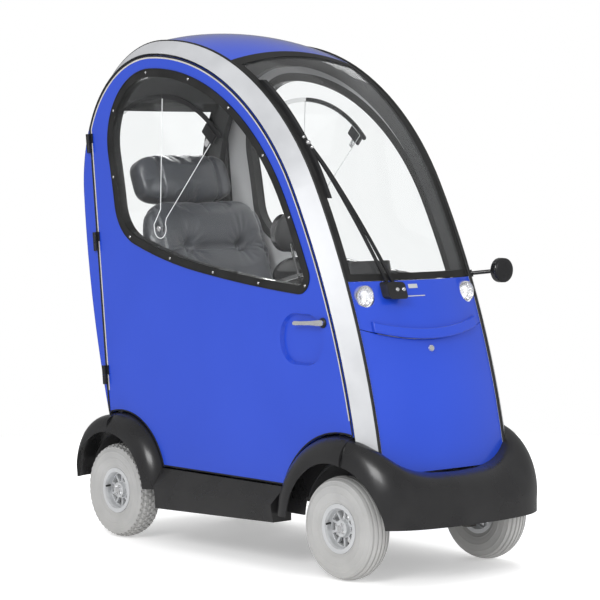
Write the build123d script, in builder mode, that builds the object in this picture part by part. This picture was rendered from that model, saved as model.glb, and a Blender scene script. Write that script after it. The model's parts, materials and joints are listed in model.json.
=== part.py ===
"""Enclosed mobility scooter: a one-seat cabin on a small four-wheeled chassis.

Millimetres. The front faces -Y, the vehicle's left is +X, Z is up and the ground is Z = 0.
The origin lies half-way between the axles, on the plane that the two sides mirror about.
"""
import os
from math import cos, radians, tan

from build123d import *

os.makedirs("parts", exist_ok=True)

# Wheels and axles
wheelbase = 1068
track = 557
tyre_radius = 150
tyre_width = 88
tyre_shoulder_radius = 138
rim_flange_radius = 71.5
rim_flange_width = 68
rim_well_radius = 64
rim_bore_radius = 56
hub_radius = 24
hub_length = 48
spoke_count = 10
spoke_width = 7
spoke_margin = 4
axle_radius = 10
running_gap = 0.05
kingpin_inset = 73.5
kingpin_radius = 8
kingpin_boss_radius = 14
kingpin_boss_height = 60
knuckle_lug = 15.5
end_play = 0.5
front_axle_y = -wheelbase / 2
rear_axle_y = wheelbase / 2
wheel_x = track / 2
kingpin_x = wheel_x - kingpin_inset

# Fits between pieces
seat_gap = 0.2
door_gap = 6
seam_gap = 2

# Cabin arch: the door edge in side view, as tangent arcs that start level at the apex
arch_apex = (360, 1534)
arch_front = (
    (front_axle_y + 510, 1429), (front_axle_y + 204, 1114), (front_axle_y - 79.8, 300)
)
arch_rear = (
    (rear_axle_y + 138, 1333), (rear_axle_y + 180, 1100), (rear_axle_y + 21.6, 300)
)
body_half_width = 300
band_drop = 45
band_rise = 40
band_land = 12
jamb_depth = 22
panel_thickness = 5
glass_thickness = 4
panel_crown = 31
cowl_crown = 38
land_x = body_half_width - band_drop
panel_half_width = land_x - band_land - seat_gap
seal_height = 4
seal_slope = 3

# Seams of the crowned panels
screen_base_z = 852
header_y = 30
rear_window_top_z = 1395
rear_window_base_z = 900
lip_side_z = 721
lip_middle_z = 682
lip_height = 30
lip_proud = 10
lip_rounding = 5
lip_inset = 38

# Doors
door_thickness = 30
hinge_line = ((rear_axle_y + 64, 516), (rear_axle_y + 142, 1258))
hinge_stand_off = 8
hinge_radius = 7
hinge_length = 60
hinge_leaf = 16
hinge_leaf_thickness = 3
hinge_heights = (516, 943, 1258)
window_inset = 46
window_rear = (
    (rear_axle_y + 42, 1215), (rear_axle_y + 11, 1061), (rear_axle_y - 94, 938),
    (rear_axle_y - 402, 864), (front_axle_y + 189, 812),
)
window_front_share = 0.27
gasket_width = 26
gasket_proud = 2
pane_depth = 8
vent_pivot = (rear_axle_y - 216, 990)
vent_radius = 410
vent_strip = 14
vent_angles = (63, 136.5)
vent_thickness = 5
vent_pivot_radius = 20
handle_pivot = (front_axle_y + 78, 734)
handle_length = 120
handle_width = 18
handle_thickness = 8
handle_stand_off = 5
handle_hub_radius = 15
handle_hub_height = 14
handle_dish = (front_axle_y + 174, 682)
handle_dish_size = (190, 150)
handle_dish_corner = 70
handle_dish_depth = 12
handle_dish_taper = 25

# Black mouldings over the wheels
wheel_opening_radius = tyre_radius + 40
moulding_wall = 5
moulding_half_width = 350
fender_depth = 78
shoulder_width = 50
shoulder_depth = 80
front_fender_radius = wheel_opening_radius + 75
front_fender_centre = (front_axle_y, tyre_radius)
rear_fender_radius = wheel_opening_radius + 28
rear_fender_centre = (rear_axle_y - 21, tyre_radius + 32)
front_base_z = tyre_radius + 15
rear_base_z = tyre_radius + 27
front_overhang = 266
rear_overhang = 218
front_tail = 45
rear_tail = 50
sill_lap = 38
sill_inset = 5
sill_tuck = 14
sill_fall = 6
sill_front = (244, 194, 141)
sill_rear = (243, 188, 118)
moulding_inner_x = moulding_half_width - fender_depth
sill_inner_x = body_half_width - sill_lap
sill_outer_x = moulding_half_width - sill_inset
sill_front_y = front_axle_y + 224
sill_rear_y = rear_axle_y - 194

# Chassis
rail_x = 110
rail_size = 40
rail_base_z = tyre_radius + 25
rail_front_y = front_axle_y - 86
rail_rear_y = rear_axle_y + 66
cross_member_y = 250
floor_thickness = 10
well_wall = 6
front_well_x = rail_x + rail_size
rear_well_x = wheel_x - 73.5
eye_radius = 9
eye_plate = 8
beam_half_height = 18
beam_width = 30
axle_pad_length = 60
axle_tube_radius = 21
gearcase_half_width = 55
gearcase_front = 65
gearcase_rear = 60
gearcase_depth = 50
motor_radius = 48
motor_length = 170
motor_drop = 5
battery_half_width = 185
battery_y = (10, 330)
battery_height = 194.6
battery_corner = 12

# Seat
seat_width = 430
cushion_front_y = -120
cushion_rear_y = 285
cushion_base_z = 478
cushion_height = 112
back_rake = 22
back_height = 460
back_lift = 20
back_thickness = 100
back_foot = (319, 590)
headrest_size = (385, 120, 165)
headrest_centre = (589, 1138)
headrest_post = (70, -40)
headrest_post_radius = 6
pedestal_radius = 45
pedestal_y = 130
seat_plate_half_width = 150
seat_plate_y = (-60, 345)
seat_plate_thickness = 10
back_bracket_width = 160
back_bracket_thickness = 8
back_bracket_drop = 115
back_bracket_length = 400

# Tiller
tiller_foot = (front_axle_y + 114, 225)
tiller_head = (front_axle_y + 294, 990)
column_radius = 22
column_lift = 6
head_along = 640
pod_size = (230, 110, 80)
pod_corner = 45
bar_radius = 11
bar_half_width = 195
bar_bend_x = 120
grip_y = (90, -10, -40)
bar_bend_radius = 30
stalk_radius = 4
stalk_mirror_radius = 58
stalk_mirror_depth = 18
stalk_mirror = (10 - bar_half_width, front_axle_y + 369, 985)

# Lamps, wiper, outer mirror and dashboard
headlamp = (panel_half_width - 38.8, front_axle_y + 12, 808)
headlamp_radius = 32
headlamp_proud = 8
headlamp_depth = 16
headlamp_dome = 10
tail_lamp = (panel_half_width - 77.8, rear_axle_y + 156, 640)
tail_lamp_radius = 30
tail_lamp_proud = 16
tail_lamp_depth = 26
tail_lamp_dome = 8
wiper_pivot = (-106, screen_base_z - 20)
wiper_joint = (14.8 - panel_half_width, screen_base_z + 403)
wiper_arm_spacing = 22
wiper_arm_width = 9
wiper_blade_width = 10
wiper_blade_z = (screen_base_z + 238, screen_base_z + 588)
wiper_gearbox_size = (62, 48)
wiper_gearbox_corner = 10
outer_mirror = (body_half_width + 34, front_axle_y - 16, 869)
outer_mirror_radius = 37
outer_mirror_depth = 20
outer_mirror_stalk_radius = 6
outer_mirror_foot_radius = 11
outer_mirror_arch_share = 0.8185
dash_profile = (
    (front_axle_y + 2, 700), (front_axle_y + 56, 838), (front_axle_y + 134, 842),
    (front_axle_y + 169, 800), (front_axle_y + 154, 720),
)

floor_z = rail_base_z + rail_size + seat_gap
floor_top_z = floor_z + floor_thickness
door_inner_x = body_half_width - door_thickness
jamb_x = door_inner_x - door_gap
far = 1000

SIDES = (("right", -1), ("left", 1))


def save(piece, node):
    """Label one finished piece and write it to its own file."""
    piece.part.label = node
    export_step(piece.part, f"parts/{node}.step")


def arch_run(run, heading, out):
    """Joints of one side of the arch and the tangents there, moved outwards by out."""
    point = Vector(*arch_apex)
    tangent = Vector(heading, 0)
    joints = [point + Vector(0, out)]
    tangents = [tangent]
    for y, z in run:
        chord = (Vector(y, z) - point).normalized()
        tangent = chord * (2 * chord.dot(tangent)) - tangent
        point = Vector(y, z)
        joints.append(point + Vector(-tangent.Y, tangent.X) * (heading * out))
        tangents.append(tangent)
    return joints, tangents


def arch_face(out, mode=Mode.ADD):
    """The side view inside the arch, grown outwards by out and closed below its feet."""
    with BuildLine() as outline:
        feet = []
        for heading, run in ((-1, arch_front), (1, arch_rear)):
            joints, tangents = arch_run(run, heading, out)
            for start, end, tangent in zip(joints, joints[1:], tangents):
                TangentArc(start, end, tangent=tangent)
            feet.append((joints[-1].X, joints[-1].Y))
        (y0, z0), (y1, z1) = feet
        Polyline((y0, z0), (y0, rear_base_z), (y1, rear_base_z), (y1, z1))
    make_face(outline.edges(), mode=mode)


def arch_path():
    """The arch from its rear foot over the apex to its front foot."""
    with BuildLine() as path:
        joints, tangents = arch_run(arch_rear, 1, 0)
        for i in range(len(arch_rear), 0, -1):
            TangentArc(joints[i], joints[i - 1], tangent=-tangents[i])
        joints, tangents = arch_run(arch_front, -1, 0)
        for i in range(len(arch_front)):
            TangentArc(joints[i], joints[i + 1], tangent=tangents[i])
    return Plane.YZ.from_local_coords(path.wire())


def section_plane(path):
    """Plane across the rear foot of the arch: local x is X, local y points outwards."""
    return Plane(origin=path @ 0, x_dir=(1, 0, 0), z_dir=path % 0)


def dip_face(levels, lift, top, mode=Mode.ADD):
    """Front view of the space above a sagging edge: levels at the arch and at the middle."""
    side_z, middle_z = levels
    with BuildLine() as outline:
        Line((-far, side_z + lift), (-land_x, side_z + lift))
        ThreePointArc((-land_x, side_z + lift), (0, middle_z + lift), (land_x, side_z + lift))
        Line((land_x, side_z + lift), (far, side_z + lift))
        Polyline((far, side_z + lift), (far, top), (-far, top), (-far, side_z + lift))
    make_face(outline.edges(), mode=mode)


def hinge_half_plane(clear, far_y, mode):
    """Side view of all that lies on one side of the hinge line, clear of it by clear."""
    (y0, z0), (y1, z1) = hinge_line
    slope = (y1 - y0) / (z1 - z0)
    high = 2 * far
    with BuildLine() as outline:
        Polyline(
            (y0 - slope * z0 + clear, 0),
            (y0 + slope * (high - z0) + clear, high),
            (far_y, high),
            (far_y, 0),
            close=True,
        )
    make_face(outline.edges(), mode=mode)


def bar(start, end, radius, mode=Mode.ADD):
    """A round bar from start to end."""
    line = Vector(*end) - Vector(*start)
    with BuildSketch(Plane(origin=start, z_dir=line)) as section:
        Circle(radius)
    extrude(section.sketch, amount=line.length, mode=mode)


def block(low, high):
    """A box between two corners."""
    low = Vector(*low)
    size = Vector(*high) - low
    with Locations(low + size / 2):
        Box(size.X, size.Y, size.Z)


# Wheels: a solid tyre on a one-piece rim
def wheel_plane(side, y):
    return Plane(origin=(side * wheel_x, y, tyre_radius), x_dir=(side, 0, 0), z_dir=(0, 0, 1))


rim_half = rim_flange_width / 2
well_half = rim_half - 7
tread_half = tyre_width / 2 - 7
half_pitch = 180 / spoke_count
window_height = rim_bore_radius - hub_radius - 2 * spoke_margin
window_width = 2 * (rim_bore_radius - spoke_margin) * tan(radians(half_pitch))
window_width -= spoke_width / cos(radians(half_pitch))
for corner, side, y in (
    ("front_right", -1, front_axle_y),
    ("front_left", 1, front_axle_y),
    ("rear_right", -1, rear_axle_y),
    ("rear_left", 1, rear_axle_y),
):
    hub = wheel_plane(side, y)
    spin = Axis(hub.origin, hub.x_dir)
    bead_radius = rim_flange_radius + seat_gap
    with BuildPart() as tyre:
        with BuildSketch(hub):
            with BuildLine():
                Polyline(
                    (-rim_half, bead_radius),
                    (seat_gap - well_half, bead_radius),
                    (seat_gap - well_half, rim_well_radius + seat_gap),
                    (well_half - seat_gap, rim_well_radius + seat_gap),
                    (well_half - seat_gap, bead_radius),
                    (rim_half, bead_radius),
                )
                for turn in (-1, 1):
                    ThreePointArc(
                        (turn * rim_half, bead_radius),
                        (turn * tyre_width / 2, (bead_radius + tyre_shoulder_radius) / 2),
                        (turn * tread_half, tyre_shoulder_radius),
                    )
                ThreePointArc(
                    (-tread_half, tyre_shoulder_radius), (0, tyre_radius), (tread_half, tyre_shoulder_radius)
                )
            make_face()
        revolve(axis=spin)
    save(tyre, f"tyre_{corner}")

    with BuildPart() as rim:
        with BuildSketch(hub):
            with BuildLine():
                Polyline(
                    (-rim_half, rim_bore_radius + 3),
                    (-rim_half, rim_flange_radius),
                    (-well_half, rim_flange_radius),
                    (-well_half, rim_well_radius),
                    (well_half, rim_well_radius),
                    (well_half, rim_flange_radius),
                    (rim_half, rim_flange_radius),
                    (rim_half, rim_bore_radius + 3),
                    (rim_half - 8, rim_bore_radius),
                    (8 - rim_half, rim_bore_radius),
                    close=True,
                )
            make_face()
            with Locations((6, (rim_bore_radius + hub_radius) / 2)):
                Rectangle(9, rim_bore_radius - hub_radius + 4)
            with Locations((0, (hub_radius + axle_radius + running_gap) / 2)):
                Rectangle(hub_length, hub_radius - axle_radius - running_gap)
        revolve(axis=spin)
        with BuildSketch(Plane(origin=hub.origin, x_dir=(0, 1, 0), z_dir=hub.x_dir)):
            with PolarLocations((rim_bore_radius + hub_radius) / 2, spoke_count):
                Trapezoid(window_width, window_height, 90 - half_pitch, rotation=90)
        extrude(amount=rim_half, both=True, mode=Mode.SUBTRACT)
    save(rim, f"rim_{corner}")

# Steering knuckles: a yoke about the axle's boss, with the kingpin and the stub axle
boss_half = kingpin_boss_height / 2
lug_inner = boss_half + end_play
lug_outer = lug_inner + knuckle_lug
web_x = kingpin_x + 24
for name, side in SIDES:
    with BuildPart() as knuckle:
        for turn in (-1, 1):
            with BuildSketch(Plane.XY.offset(tyre_radius + turn * lug_inner)):
                with Locations((side * kingpin_x, front_axle_y)):
                    Circle(kingpin_boss_radius)
                with Locations((side * (kingpin_x + web_x) / 2, front_axle_y)):
                    Rectangle(web_x - kingpin_x, 2 * kingpin_boss_radius)
            extrude(amount=turn * knuckle_lug)
        with Locations((side * (web_x - 3), front_axle_y, tyre_radius)):
            Box(6, 2 * kingpin_boss_radius, 2 * lug_outer)
        bar(
            (side * kingpin_x, front_axle_y, tyre_radius - lug_outer),
            (side * kingpin_x, front_axle_y, tyre_radius + lug_outer),
            kingpin_radius,
        )
        bar(
            (side * (web_x - 3), front_axle_y, tyre_radius),
            (side * (wheel_x + hub_length / 2), front_axle_y, tyre_radius),
            axle_radius,
        )
    save(knuckle, f"knuckle_{name}")

# Front axle: a beam between two bosses, under the rails
with BuildPart() as front_axle:
    with Locations((0, front_axle_y, tyre_radius)):
        Box(2 * kingpin_x, beam_width, 2 * beam_half_height)
    for side in (-1, 1):
        with Locations((side * kingpin_x, front_axle_y, tyre_radius)):
            Cylinder(kingpin_boss_radius, kingpin_boss_height)
            Cylinder(kingpin_radius + running_gap, kingpin_boss_height, mode=Mode.SUBTRACT)
        block(
            (side * rail_x - rail_size / 2, front_axle_y - axle_pad_length / 2, tyre_radius),
            (side * rail_x + rail_size / 2, front_axle_y + axle_pad_length / 2, rail_base_z),
        )
save(front_axle, "front_axle")

# Drive unit: axle tube, gearcase and motor in one casting
with BuildPart() as drive_unit:
    tube_end = rear_well_x + 5
    bar((-tube_end, rear_axle_y, tyre_radius), (tube_end, rear_axle_y, tyre_radius), axle_tube_radius)
    shaft_end = wheel_x + hub_length / 2
    bar((-shaft_end, rear_axle_y, tyre_radius), (shaft_end, rear_axle_y, tyre_radius), axle_radius)
    block(
        (-gearcase_half_width, rear_axle_y - gearcase_front, tyre_radius - gearcase_depth),
        (gearcase_half_width, rear_axle_y + gearcase_rear, rail_base_z - 2),
    )
    motor_y = rear_axle_y - gearcase_front
    motor_z = tyre_radius - motor_drop
    bar((0, motor_y + 5, motor_z), (0, motor_y - motor_length, motor_z), motor_radius)
    for side in (-1, 1):
        block(
            (side * rail_x - rail_size / 2, rear_axle_y - axle_pad_length / 2, tyre_radius),
            (side * rail_x + rail_size / 2, rear_axle_y + axle_pad_length / 2, rail_base_z),
        )
save(drive_unit, "drive_unit")

# Chassis frame: two rails, cross members and tie-down eyes
with BuildPart() as chassis_frame:
    rail_top_z = rail_base_z + rail_size
    for side in (-1, 1):
        block(
            (side * rail_x - rail_size / 2, rail_front_y, rail_base_z),
            (side * rail_x + rail_size / 2, rail_rear_y, rail_top_z),
        )
    for y in (
        rail_front_y + rail_size / 2, -cross_member_y, cross_member_y, rail_rear_y - rail_size / 2
    ):
        with Locations((0, y, rail_base_z + rail_size / 2)):
            Box(2 * rail_x, rail_size, rail_size)
    for y, away in ((rail_front_y, -1), (rail_rear_y, 1)):
        for side in (-1, 1):
            with BuildSketch(Plane.XY.offset(rail_base_z)):
                with Locations((side * rail_x, y + away * rail_size / 2)):
                    Circle(rail_size / 2)
                with Locations((side * rail_x, y + away * rail_size / 4)):
                    Rectangle(rail_size, rail_size / 2)
                with Locations((side * rail_x, y + away * rail_size / 2)):
                    Circle(eye_radius, mode=Mode.SUBTRACT)
            extrude(amount=eye_plate)
save(chassis_frame, "chassis_frame")

# Floor pan: a tray with a well over each wheel
well_outer_x = moulding_inner_x - seat_gap
with BuildPart() as floor_pan:
    with BuildSketch(Plane.XY.offset(floor_z)):
        with Locations((0, 0)):
            Rectangle(2 * (sill_inner_x - seat_gap), 2 * rail_rear_y)
        with Locations((0, rail_front_y / 2)):
            Rectangle(2 * front_well_x, -rail_front_y)
    extrude(amount=floor_thickness)
    for side in (-1, 1):
        for y, inner_x in ((front_axle_y, front_well_x), (rear_axle_y, rear_well_x)):
            for radius, x0, x1, mode in (
                (wheel_opening_radius, inner_x, well_outer_x, Mode.ADD),
                (wheel_opening_radius - well_wall, inner_x + well_wall, well_outer_x + 1, Mode.SUBTRACT),
            ):
                with BuildSketch(Plane.YZ.offset(side * x0)):
                    with Locations((y, tyre_radius)):
                        Circle(radius)
                    if mode == Mode.ADD:
                        with Locations((y, floor_z - wheel_opening_radius)):
                            Rectangle(
                                2 * wheel_opening_radius, 2 * wheel_opening_radius, mode=Mode.SUBTRACT
                            )
                extrude(amount=side * (x1 - x0), mode=mode)
save(floor_pan, "floor_pan")

# Batteries: one plain block under the seat
battery_base_z = floor_top_z + seat_gap
battery_top_z = battery_base_z + battery_height
with BuildPart() as batteries:
    block(
        (-battery_half_width, battery_y[0], battery_base_z),
        (battery_half_width, battery_y[1], battery_top_z),
    )
    fillet(batteries.edges().filter_by(Axis.Z), battery_corner)
save(batteries, "batteries")

# Black mouldings: rounded fenders joined by a bumper that sags in the middle, hollow below
FRONT_SECTIONS = (
    # in from the side, drop from the fender's top, pull from the face, start of the roll, its height
    (2, 70, 175, 22, 170),
    (20, 20, 120, 26, 205),
    (46, 4, 74, 28, 210),
    (82, 26, 46, 72, 175),
    (126, 67, 26, 120, 130),
    (178, 93, 14, 144, 105),
    (234, 105, 6, 154, 95),
    (292, 108, 1.5, 157, 90),
    (moulding_half_width, 109, 0, 158, 90),
)
REAR_SECTIONS = (
    (3, 65, 62, 16, 145),
    (20, 12, 30, 14, 190),
    (46, 8, 15, 14, 192),
    (82, 12, 8, 22, 190),
    (126, 24, 5, 34, 180),
    (178, 40, 3, 50, 165),
    (234, 54, 1.5, 64, 150),
    (292, 66, 0.5, 73, 138),
    (moulding_half_width, 70, 0, 76, 132),
)
MOULDINGS = (
    # node, end, axle y, fender centre, fender radius, its length past the axle, overhang, base, sections
    ("front_bumper", -1, front_axle_y, front_fender_centre, front_fender_radius, front_tail,
     front_overhang, front_base_z, FRONT_SECTIONS),
    ("rear_bumper", 1, rear_axle_y, rear_fender_centre, rear_fender_radius, rear_tail,
     rear_overhang, rear_base_z, REAR_SECTIONS),
)


def fender_puck(end, centre, radius, tail, inset):
    """Rounded disc over one wheel, its shoulder falling away towards the outside."""
    y, z = centre
    outer_x = moulding_half_width - inset
    inner_x = moulding_inner_x + inset
    shoulder_x = outer_x - shoulder_width
    top = radius - inset
    plane = Plane(origin=(0, y, z), x_dir=(1, 0, 0), z_dir=(0, 0, 1))
    with BuildPart() as puck:
        with BuildSketch(plane):
            with BuildLine():
                Polyline((outer_x, top - shoulder_depth), (outer_x, 0), (inner_x, 0), (inner_x, top),
                         (shoulder_x, top))
                ThreePointArc(
                    (shoulder_x, top),
                    (shoulder_x + 0.68 * shoulder_width, top - 0.25 * shoulder_depth),
                    (outer_x, top - shoulder_depth),
                )
            make_face()
        revolve(axis=Axis(plane.origin, plane.x_dir))
        with Locations((0, y + end * (tail + far / 2), z)):
            Box(2 * far, far, 2 * far, mode=Mode.SUBTRACT)
        mirror(about=Plane.YZ)
    return puck.part


def bumper_core(end, axle_y, overhang, top_z, base_z, sections, inset):
    """The bumper between the fenders: side-view sections across it, each rolling over its top."""
    rows = [(side_in - moulding_half_width, *row) for side_in, *row in sections]
    rows += [(-x, *row) for x, *row in reversed(rows[:-1])]
    half_width = moulding_half_width - inset
    with BuildPart() as core:
        for x, drop, pull, roll, height in rows:
            face_y = axle_y + end * (overhang - pull - inset)
            roll_y = axle_y + end * (roll - inset)
            top = top_z - drop - inset
            with BuildSketch(Plane.YZ.offset(x * half_width / moulding_half_width)):
                with BuildLine():
                    Polyline((roll_y, top), (axle_y, top), (axle_y, base_z - 10), (face_y, base_z - 10),
                             (face_y, top - height))
                    middle_y = roll_y + 0.71 * (face_y - roll_y)
                    ThreePointArc((face_y, top - height), (middle_y, top - 0.29 * height), (roll_y, top))
                make_face()
        loft()
    return core.part


grown_mouldings = []
for node, end, axle_y, centre, radius, tail, overhang, base_z, sections in MOULDINGS:
    forms = []
    for inset in (-seat_gap, 0, moulding_wall):
        with BuildPart() as form:
            add(bumper_core(end, axle_y, overhang, centre[1] + radius, base_z, sections, inset))
            add(fender_puck(end, centre, radius, tail, inset))
        forms.append(form.part)
    grown_mouldings.append(forms[0])
    with BuildPart() as moulding:
        add(forms[1])
        add(forms[2], mode=Mode.SUBTRACT)
        with BuildSketch(Plane.YZ):
            with Locations((axle_y, tyre_radius)):
                Circle(wheel_opening_radius)
        extrude(amount=moulding_half_width + 10, both=True, mode=Mode.SUBTRACT)
        with Locations((0, axle_y, base_z - far)):
            Box(2 * far, 2 * far, 2 * far, mode=Mode.SUBTRACT)
    save(moulding, node)

# Sills: running boards between the fenders
with BuildPart() as sills:
    for y, (top, crease, base) in ((sill_front_y, sill_front), (sill_rear_y, sill_rear)):
        with BuildSketch(Plane.XZ.offset(-y)):
            with BuildLine():
                Polyline((sill_inner_x, top - sill_fall), (body_half_width, top), (sill_outer_x, crease),
                         (sill_outer_x - sill_tuck, base), (sill_inner_x, base), close=True)
            make_face()
    loft(ruled=True)
    for (y, z), radius in (
        (front_fender_centre, front_fender_radius),
        (rear_fender_centre, rear_fender_radius),
    ):
        with BuildSketch(Plane.YZ):
            with Locations((y, z)):
                Circle(radius + seat_gap)
        extrude(amount=far, mode=Mode.SUBTRACT)
    mirror(about=Plane.YZ)
save(sills, "sills")

# Arch hoops: a bevelled band with a land for the panels and a jamb behind the door
path = arch_path()


def trim_feet():
    """Cut what stands in the mouldings off a piece that comes down to them."""
    for form in grown_mouldings:
        add(form, mode=Mode.SUBTRACT)


with BuildPart() as hoops:
    with BuildSketch(section_plane(path)):
        with BuildLine():
            Polyline((body_half_width, 0), (land_x, band_rise), (land_x - band_land, band_rise),
                     (land_x - band_land, -jamb_depth), (jamb_x, -jamb_depth), (jamb_x, 0), close=True)
        make_face()
    sweep(path=path)
    trim_feet()
    mirror(about=Plane.YZ)
save(hoops, "hoops")

# Seals: a rubber bead on each land, beside the panels
with BuildPart() as seals:
    with BuildSketch(section_plane(path)):
        with BuildLine():
            seal_base = band_rise + seat_gap
            seal_top = band_rise + seal_height
            seal_inner_x = land_x - band_land + 1
            Polyline((land_x, seal_base), (land_x - seal_slope, seal_top),
                     (seal_inner_x + seal_slope, seal_top), (seal_inner_x, seal_base), close=True)
        make_face()
    sweep(path=path)
    trim_feet()
    mirror(about=Plane.YZ)
save(seals, "hoop_seals")

# Quarter panels: the crescent between the hinge line and the hoop
with BuildPart() as quarter_panels:
    with BuildSketch(Plane.YZ.offset(jamb_x + seat_gap)):
        arch_face(-seat_gap)
        hinge_half_plane(door_gap / 2, far, Mode.INTERSECT)
    extrude(amount=body_half_width - jamb_x - seat_gap)
    trim_feet()
    mirror(about=Plane.YZ)
save(quarter_panels, "quarter_panels")


def crowned_strip(crown, low, high):
    """Crowned sheet between the hoops, from low to high above the hoop's land."""
    with BuildPart() as strip:
        with BuildSketch(section_plane(path)):
            with BuildLine():
                left = -panel_half_width
                right = panel_half_width
                for level in (low, high):
                    ThreePointArc((left, band_rise + level), (0, band_rise + level + crown),
                                  (right, band_rise + level))
                for x in (left, right):
                    Line((x, band_rise + low), (x, band_rise + high))
            make_face()
        sweep(path=path)
    return strip.part


# Crowned panels between the hoops, cut from one strip at their seams
PANELS = (
    # node, crown, thickness, y range, z range
    ("windscreen", panel_crown, glass_thickness, (-far, header_y), (screen_base_z, 2 * far)),
    ("roof_panel", panel_crown, panel_thickness, (header_y, far), (rear_window_top_z, 2 * far)),
    ("rear_window", panel_crown, glass_thickness, (0, far), (rear_window_base_z, rear_window_top_z)),
    ("rear_panel", panel_crown, panel_thickness, (0, far), (0, rear_window_base_z)),
    ("cowl", cowl_crown, panel_thickness, (-far, 0), (0, screen_base_z)),
    ("front_panel", panel_crown, panel_thickness, (-far, 0), (0, screen_base_z)),
)
lip_levels = (lip_side_z, lip_middle_z)
headlamp_aim = Vector(0, -5, 1).normalized()
tail_lamp_aim = Vector(0, 1, 0)


def lamp_hole(centre, aim, radius):
    """Cut a round hole for the lamp on each side."""
    x, y, z = centre
    for side in (-1, 1):
        middle = Vector(side * x, y, z)
        bar(middle - aim * 2 * radius, middle + aim * 2 * radius, radius, Mode.SUBTRACT)


def cowl_lip(lift):
    """Rounded bead along the cowl's lower edge, stopping short of the hoops."""
    with BuildPart() as lip:
        add(crowned_strip(cowl_crown, -panel_thickness / 2, lip_proud))
        with BuildSketch(Plane.XZ):
            dip_face(lip_levels, lift, 2 * far)
            dip_face(lip_levels, lift + lip_height, 2 * far, Mode.SUBTRACT)
        extrude(amount=far, mode=Mode.INTERSECT)
        Box(2 * (panel_half_width - lip_inset), 4 * far, 4 * far, mode=Mode.INTERSECT)
        fillet(lip.faces().sort_by(Axis.Y)[0].edges(), lip_rounding)
    return lip.part


for node, crown, thickness, (y0, y1), (z0, z1) in PANELS:
    gap = seam_gap / 2
    with BuildPart() as panel:
        add(crowned_strip(crown, -thickness, 0))
        with Locations((0, (y0 + y1) / 2, (z0 + z1) / 2)):
            Box(2 * far, y1 - y0 - 2 * gap, z1 - z0 - 2 * gap, mode=Mode.INTERSECT)
        if node in ("cowl", "front_panel"):
            with BuildSketch(Plane.XZ):
                dip_face(lip_levels, gap if node == "cowl" else -gap, 2 * far)
            extrude(
                amount=far, both=True, mode=Mode.INTERSECT if node == "cowl" else Mode.SUBTRACT
            )
        if node in ("rear_panel", "front_panel"):
            trim_feet()
        if node == "cowl":
            lamp_hole(headlamp, headlamp_aim, headlamp_radius)
            add(cowl_lip(gap))
        if node == "rear_panel":
            lamp_hole(tail_lamp, tail_lamp_aim, tail_lamp_radius)
    save(panel, node)


# Lamps: a can behind the panel and a domed lens before it
def lamp(origin, forward, radius, depth, dome):
    """Round lamp about a line, its lens rising by dome towards forward."""
    plane = Plane(origin=origin, x_dir=forward, z_dir=(1, 0, 0))
    with BuildSketch(plane) as half:
        with BuildLine() as outline:
            Polyline((dome, 0), (-depth, 0), (-depth, radius), (0, radius))
            RadiusArc((0, radius), (dome, 0), (radius**2 + dome**2) / (2 * dome))
        make_face(outline.edges())
    revolve(half.sketch, axis=Axis(plane.origin, plane.x_dir))


LAMPS = (
    # node, centre, aim, radius, how far it stands out, depth, dome
    ("headlamps", headlamp, headlamp_aim, headlamp_radius, headlamp_proud, headlamp_depth, headlamp_dome),
    ("tail_lamps", tail_lamp, tail_lamp_aim, tail_lamp_radius, tail_lamp_proud, tail_lamp_depth,
     tail_lamp_dome),
)
for node, centre, aim, radius, proud, depth, dome in LAMPS:
    with BuildPart() as pair:
        lamp(Vector(*centre) + aim * proud, aim, radius - seat_gap, depth, dome)
        mirror(about=Plane.YZ)
    save(pair, node)

# Wiper: gearbox on the cowl, two parallel arms and a blade along the right edge of the screen
def wiper_layer(crown, low, high, outline):
    """What lies under an outline in front view, between two levels over the panel."""
    with BuildPart() as layer:
        add(crowned_strip(crown, low, high))
        with BuildSketch(Plane.XZ):
            outline()
        extrude(amount=far, mode=Mode.INTERSECT)
    return layer.part


def wiper_arms():
    x0, z0 = wiper_pivot
    x1, z1 = wiper_joint
    half = wiper_arm_width / 2
    for shift in (0, -wiper_arm_spacing):
        with BuildLine() as outline:
            Polyline((x0 + shift, z0), (x0 + shift + wiper_arm_width, z0), (x1 + half, z1), (x1 - half, z1),
                     close=True)
        make_face(outline.edges())


def wiper_blade():
    low, high = wiper_blade_z
    with Locations((wiper_joint[0], (low + high) / 2)):
        Rectangle(wiper_blade_width, high - low)


def wiper_gearbox():
    width, height = wiper_gearbox_size
    with Locations((wiper_pivot[0] - wiper_arm_spacing / 2, screen_base_z - seam_gap - 1 - height / 2)):
        RectangleRounded(width, height, wiper_gearbox_corner)


WIPER_LAYERS = (
    # crown, lowest and highest level over the panel, outline
    (panel_crown, 9, 15, wiper_arms),
    (panel_crown, 0.4, 14, wiper_blade),
    (cowl_crown, seat_gap, 30, wiper_gearbox),
)
with BuildPart() as wiper:
    for crown, low, high, outline in WIPER_LAYERS:
        add(wiper_layer(crown, low, high, outline))
save(wiper, "wiper")

# Outer mirror on the left hoop
share = outer_mirror_arch_share
band_plane = Plane(origin=path @ share, x_dir=(1, 0, 0), z_dir=path % share)
mirror_base = band_plane.from_local_coords((body_half_width - band_drop / 2, band_rise / 2, 0))
mirror_normal = (
    band_plane.from_local_coords((band_rise, band_drop, 0)) - band_plane.origin
).normalized()
with BuildPart() as mirror_left:
    with BuildSketch(Plane(origin=mirror_base + mirror_normal * 2 * seat_gap, z_dir=mirror_normal)):
        Circle(outer_mirror_foot_radius)
    extrude(amount=5)
    bar(mirror_base + mirror_normal * 3, outer_mirror, outer_mirror_stalk_radius)
    with BuildSketch(Plane(origin=outer_mirror, z_dir=(0, 1, 0))):
        Circle(outer_mirror_radius)
    extrude(amount=outer_mirror_depth / 2, both=True)
    fillet(mirror_left.edges().group_by(Axis.Y)[0], 0.4 * outer_mirror_depth)
save(mirror_left, "mirror_left")

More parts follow.
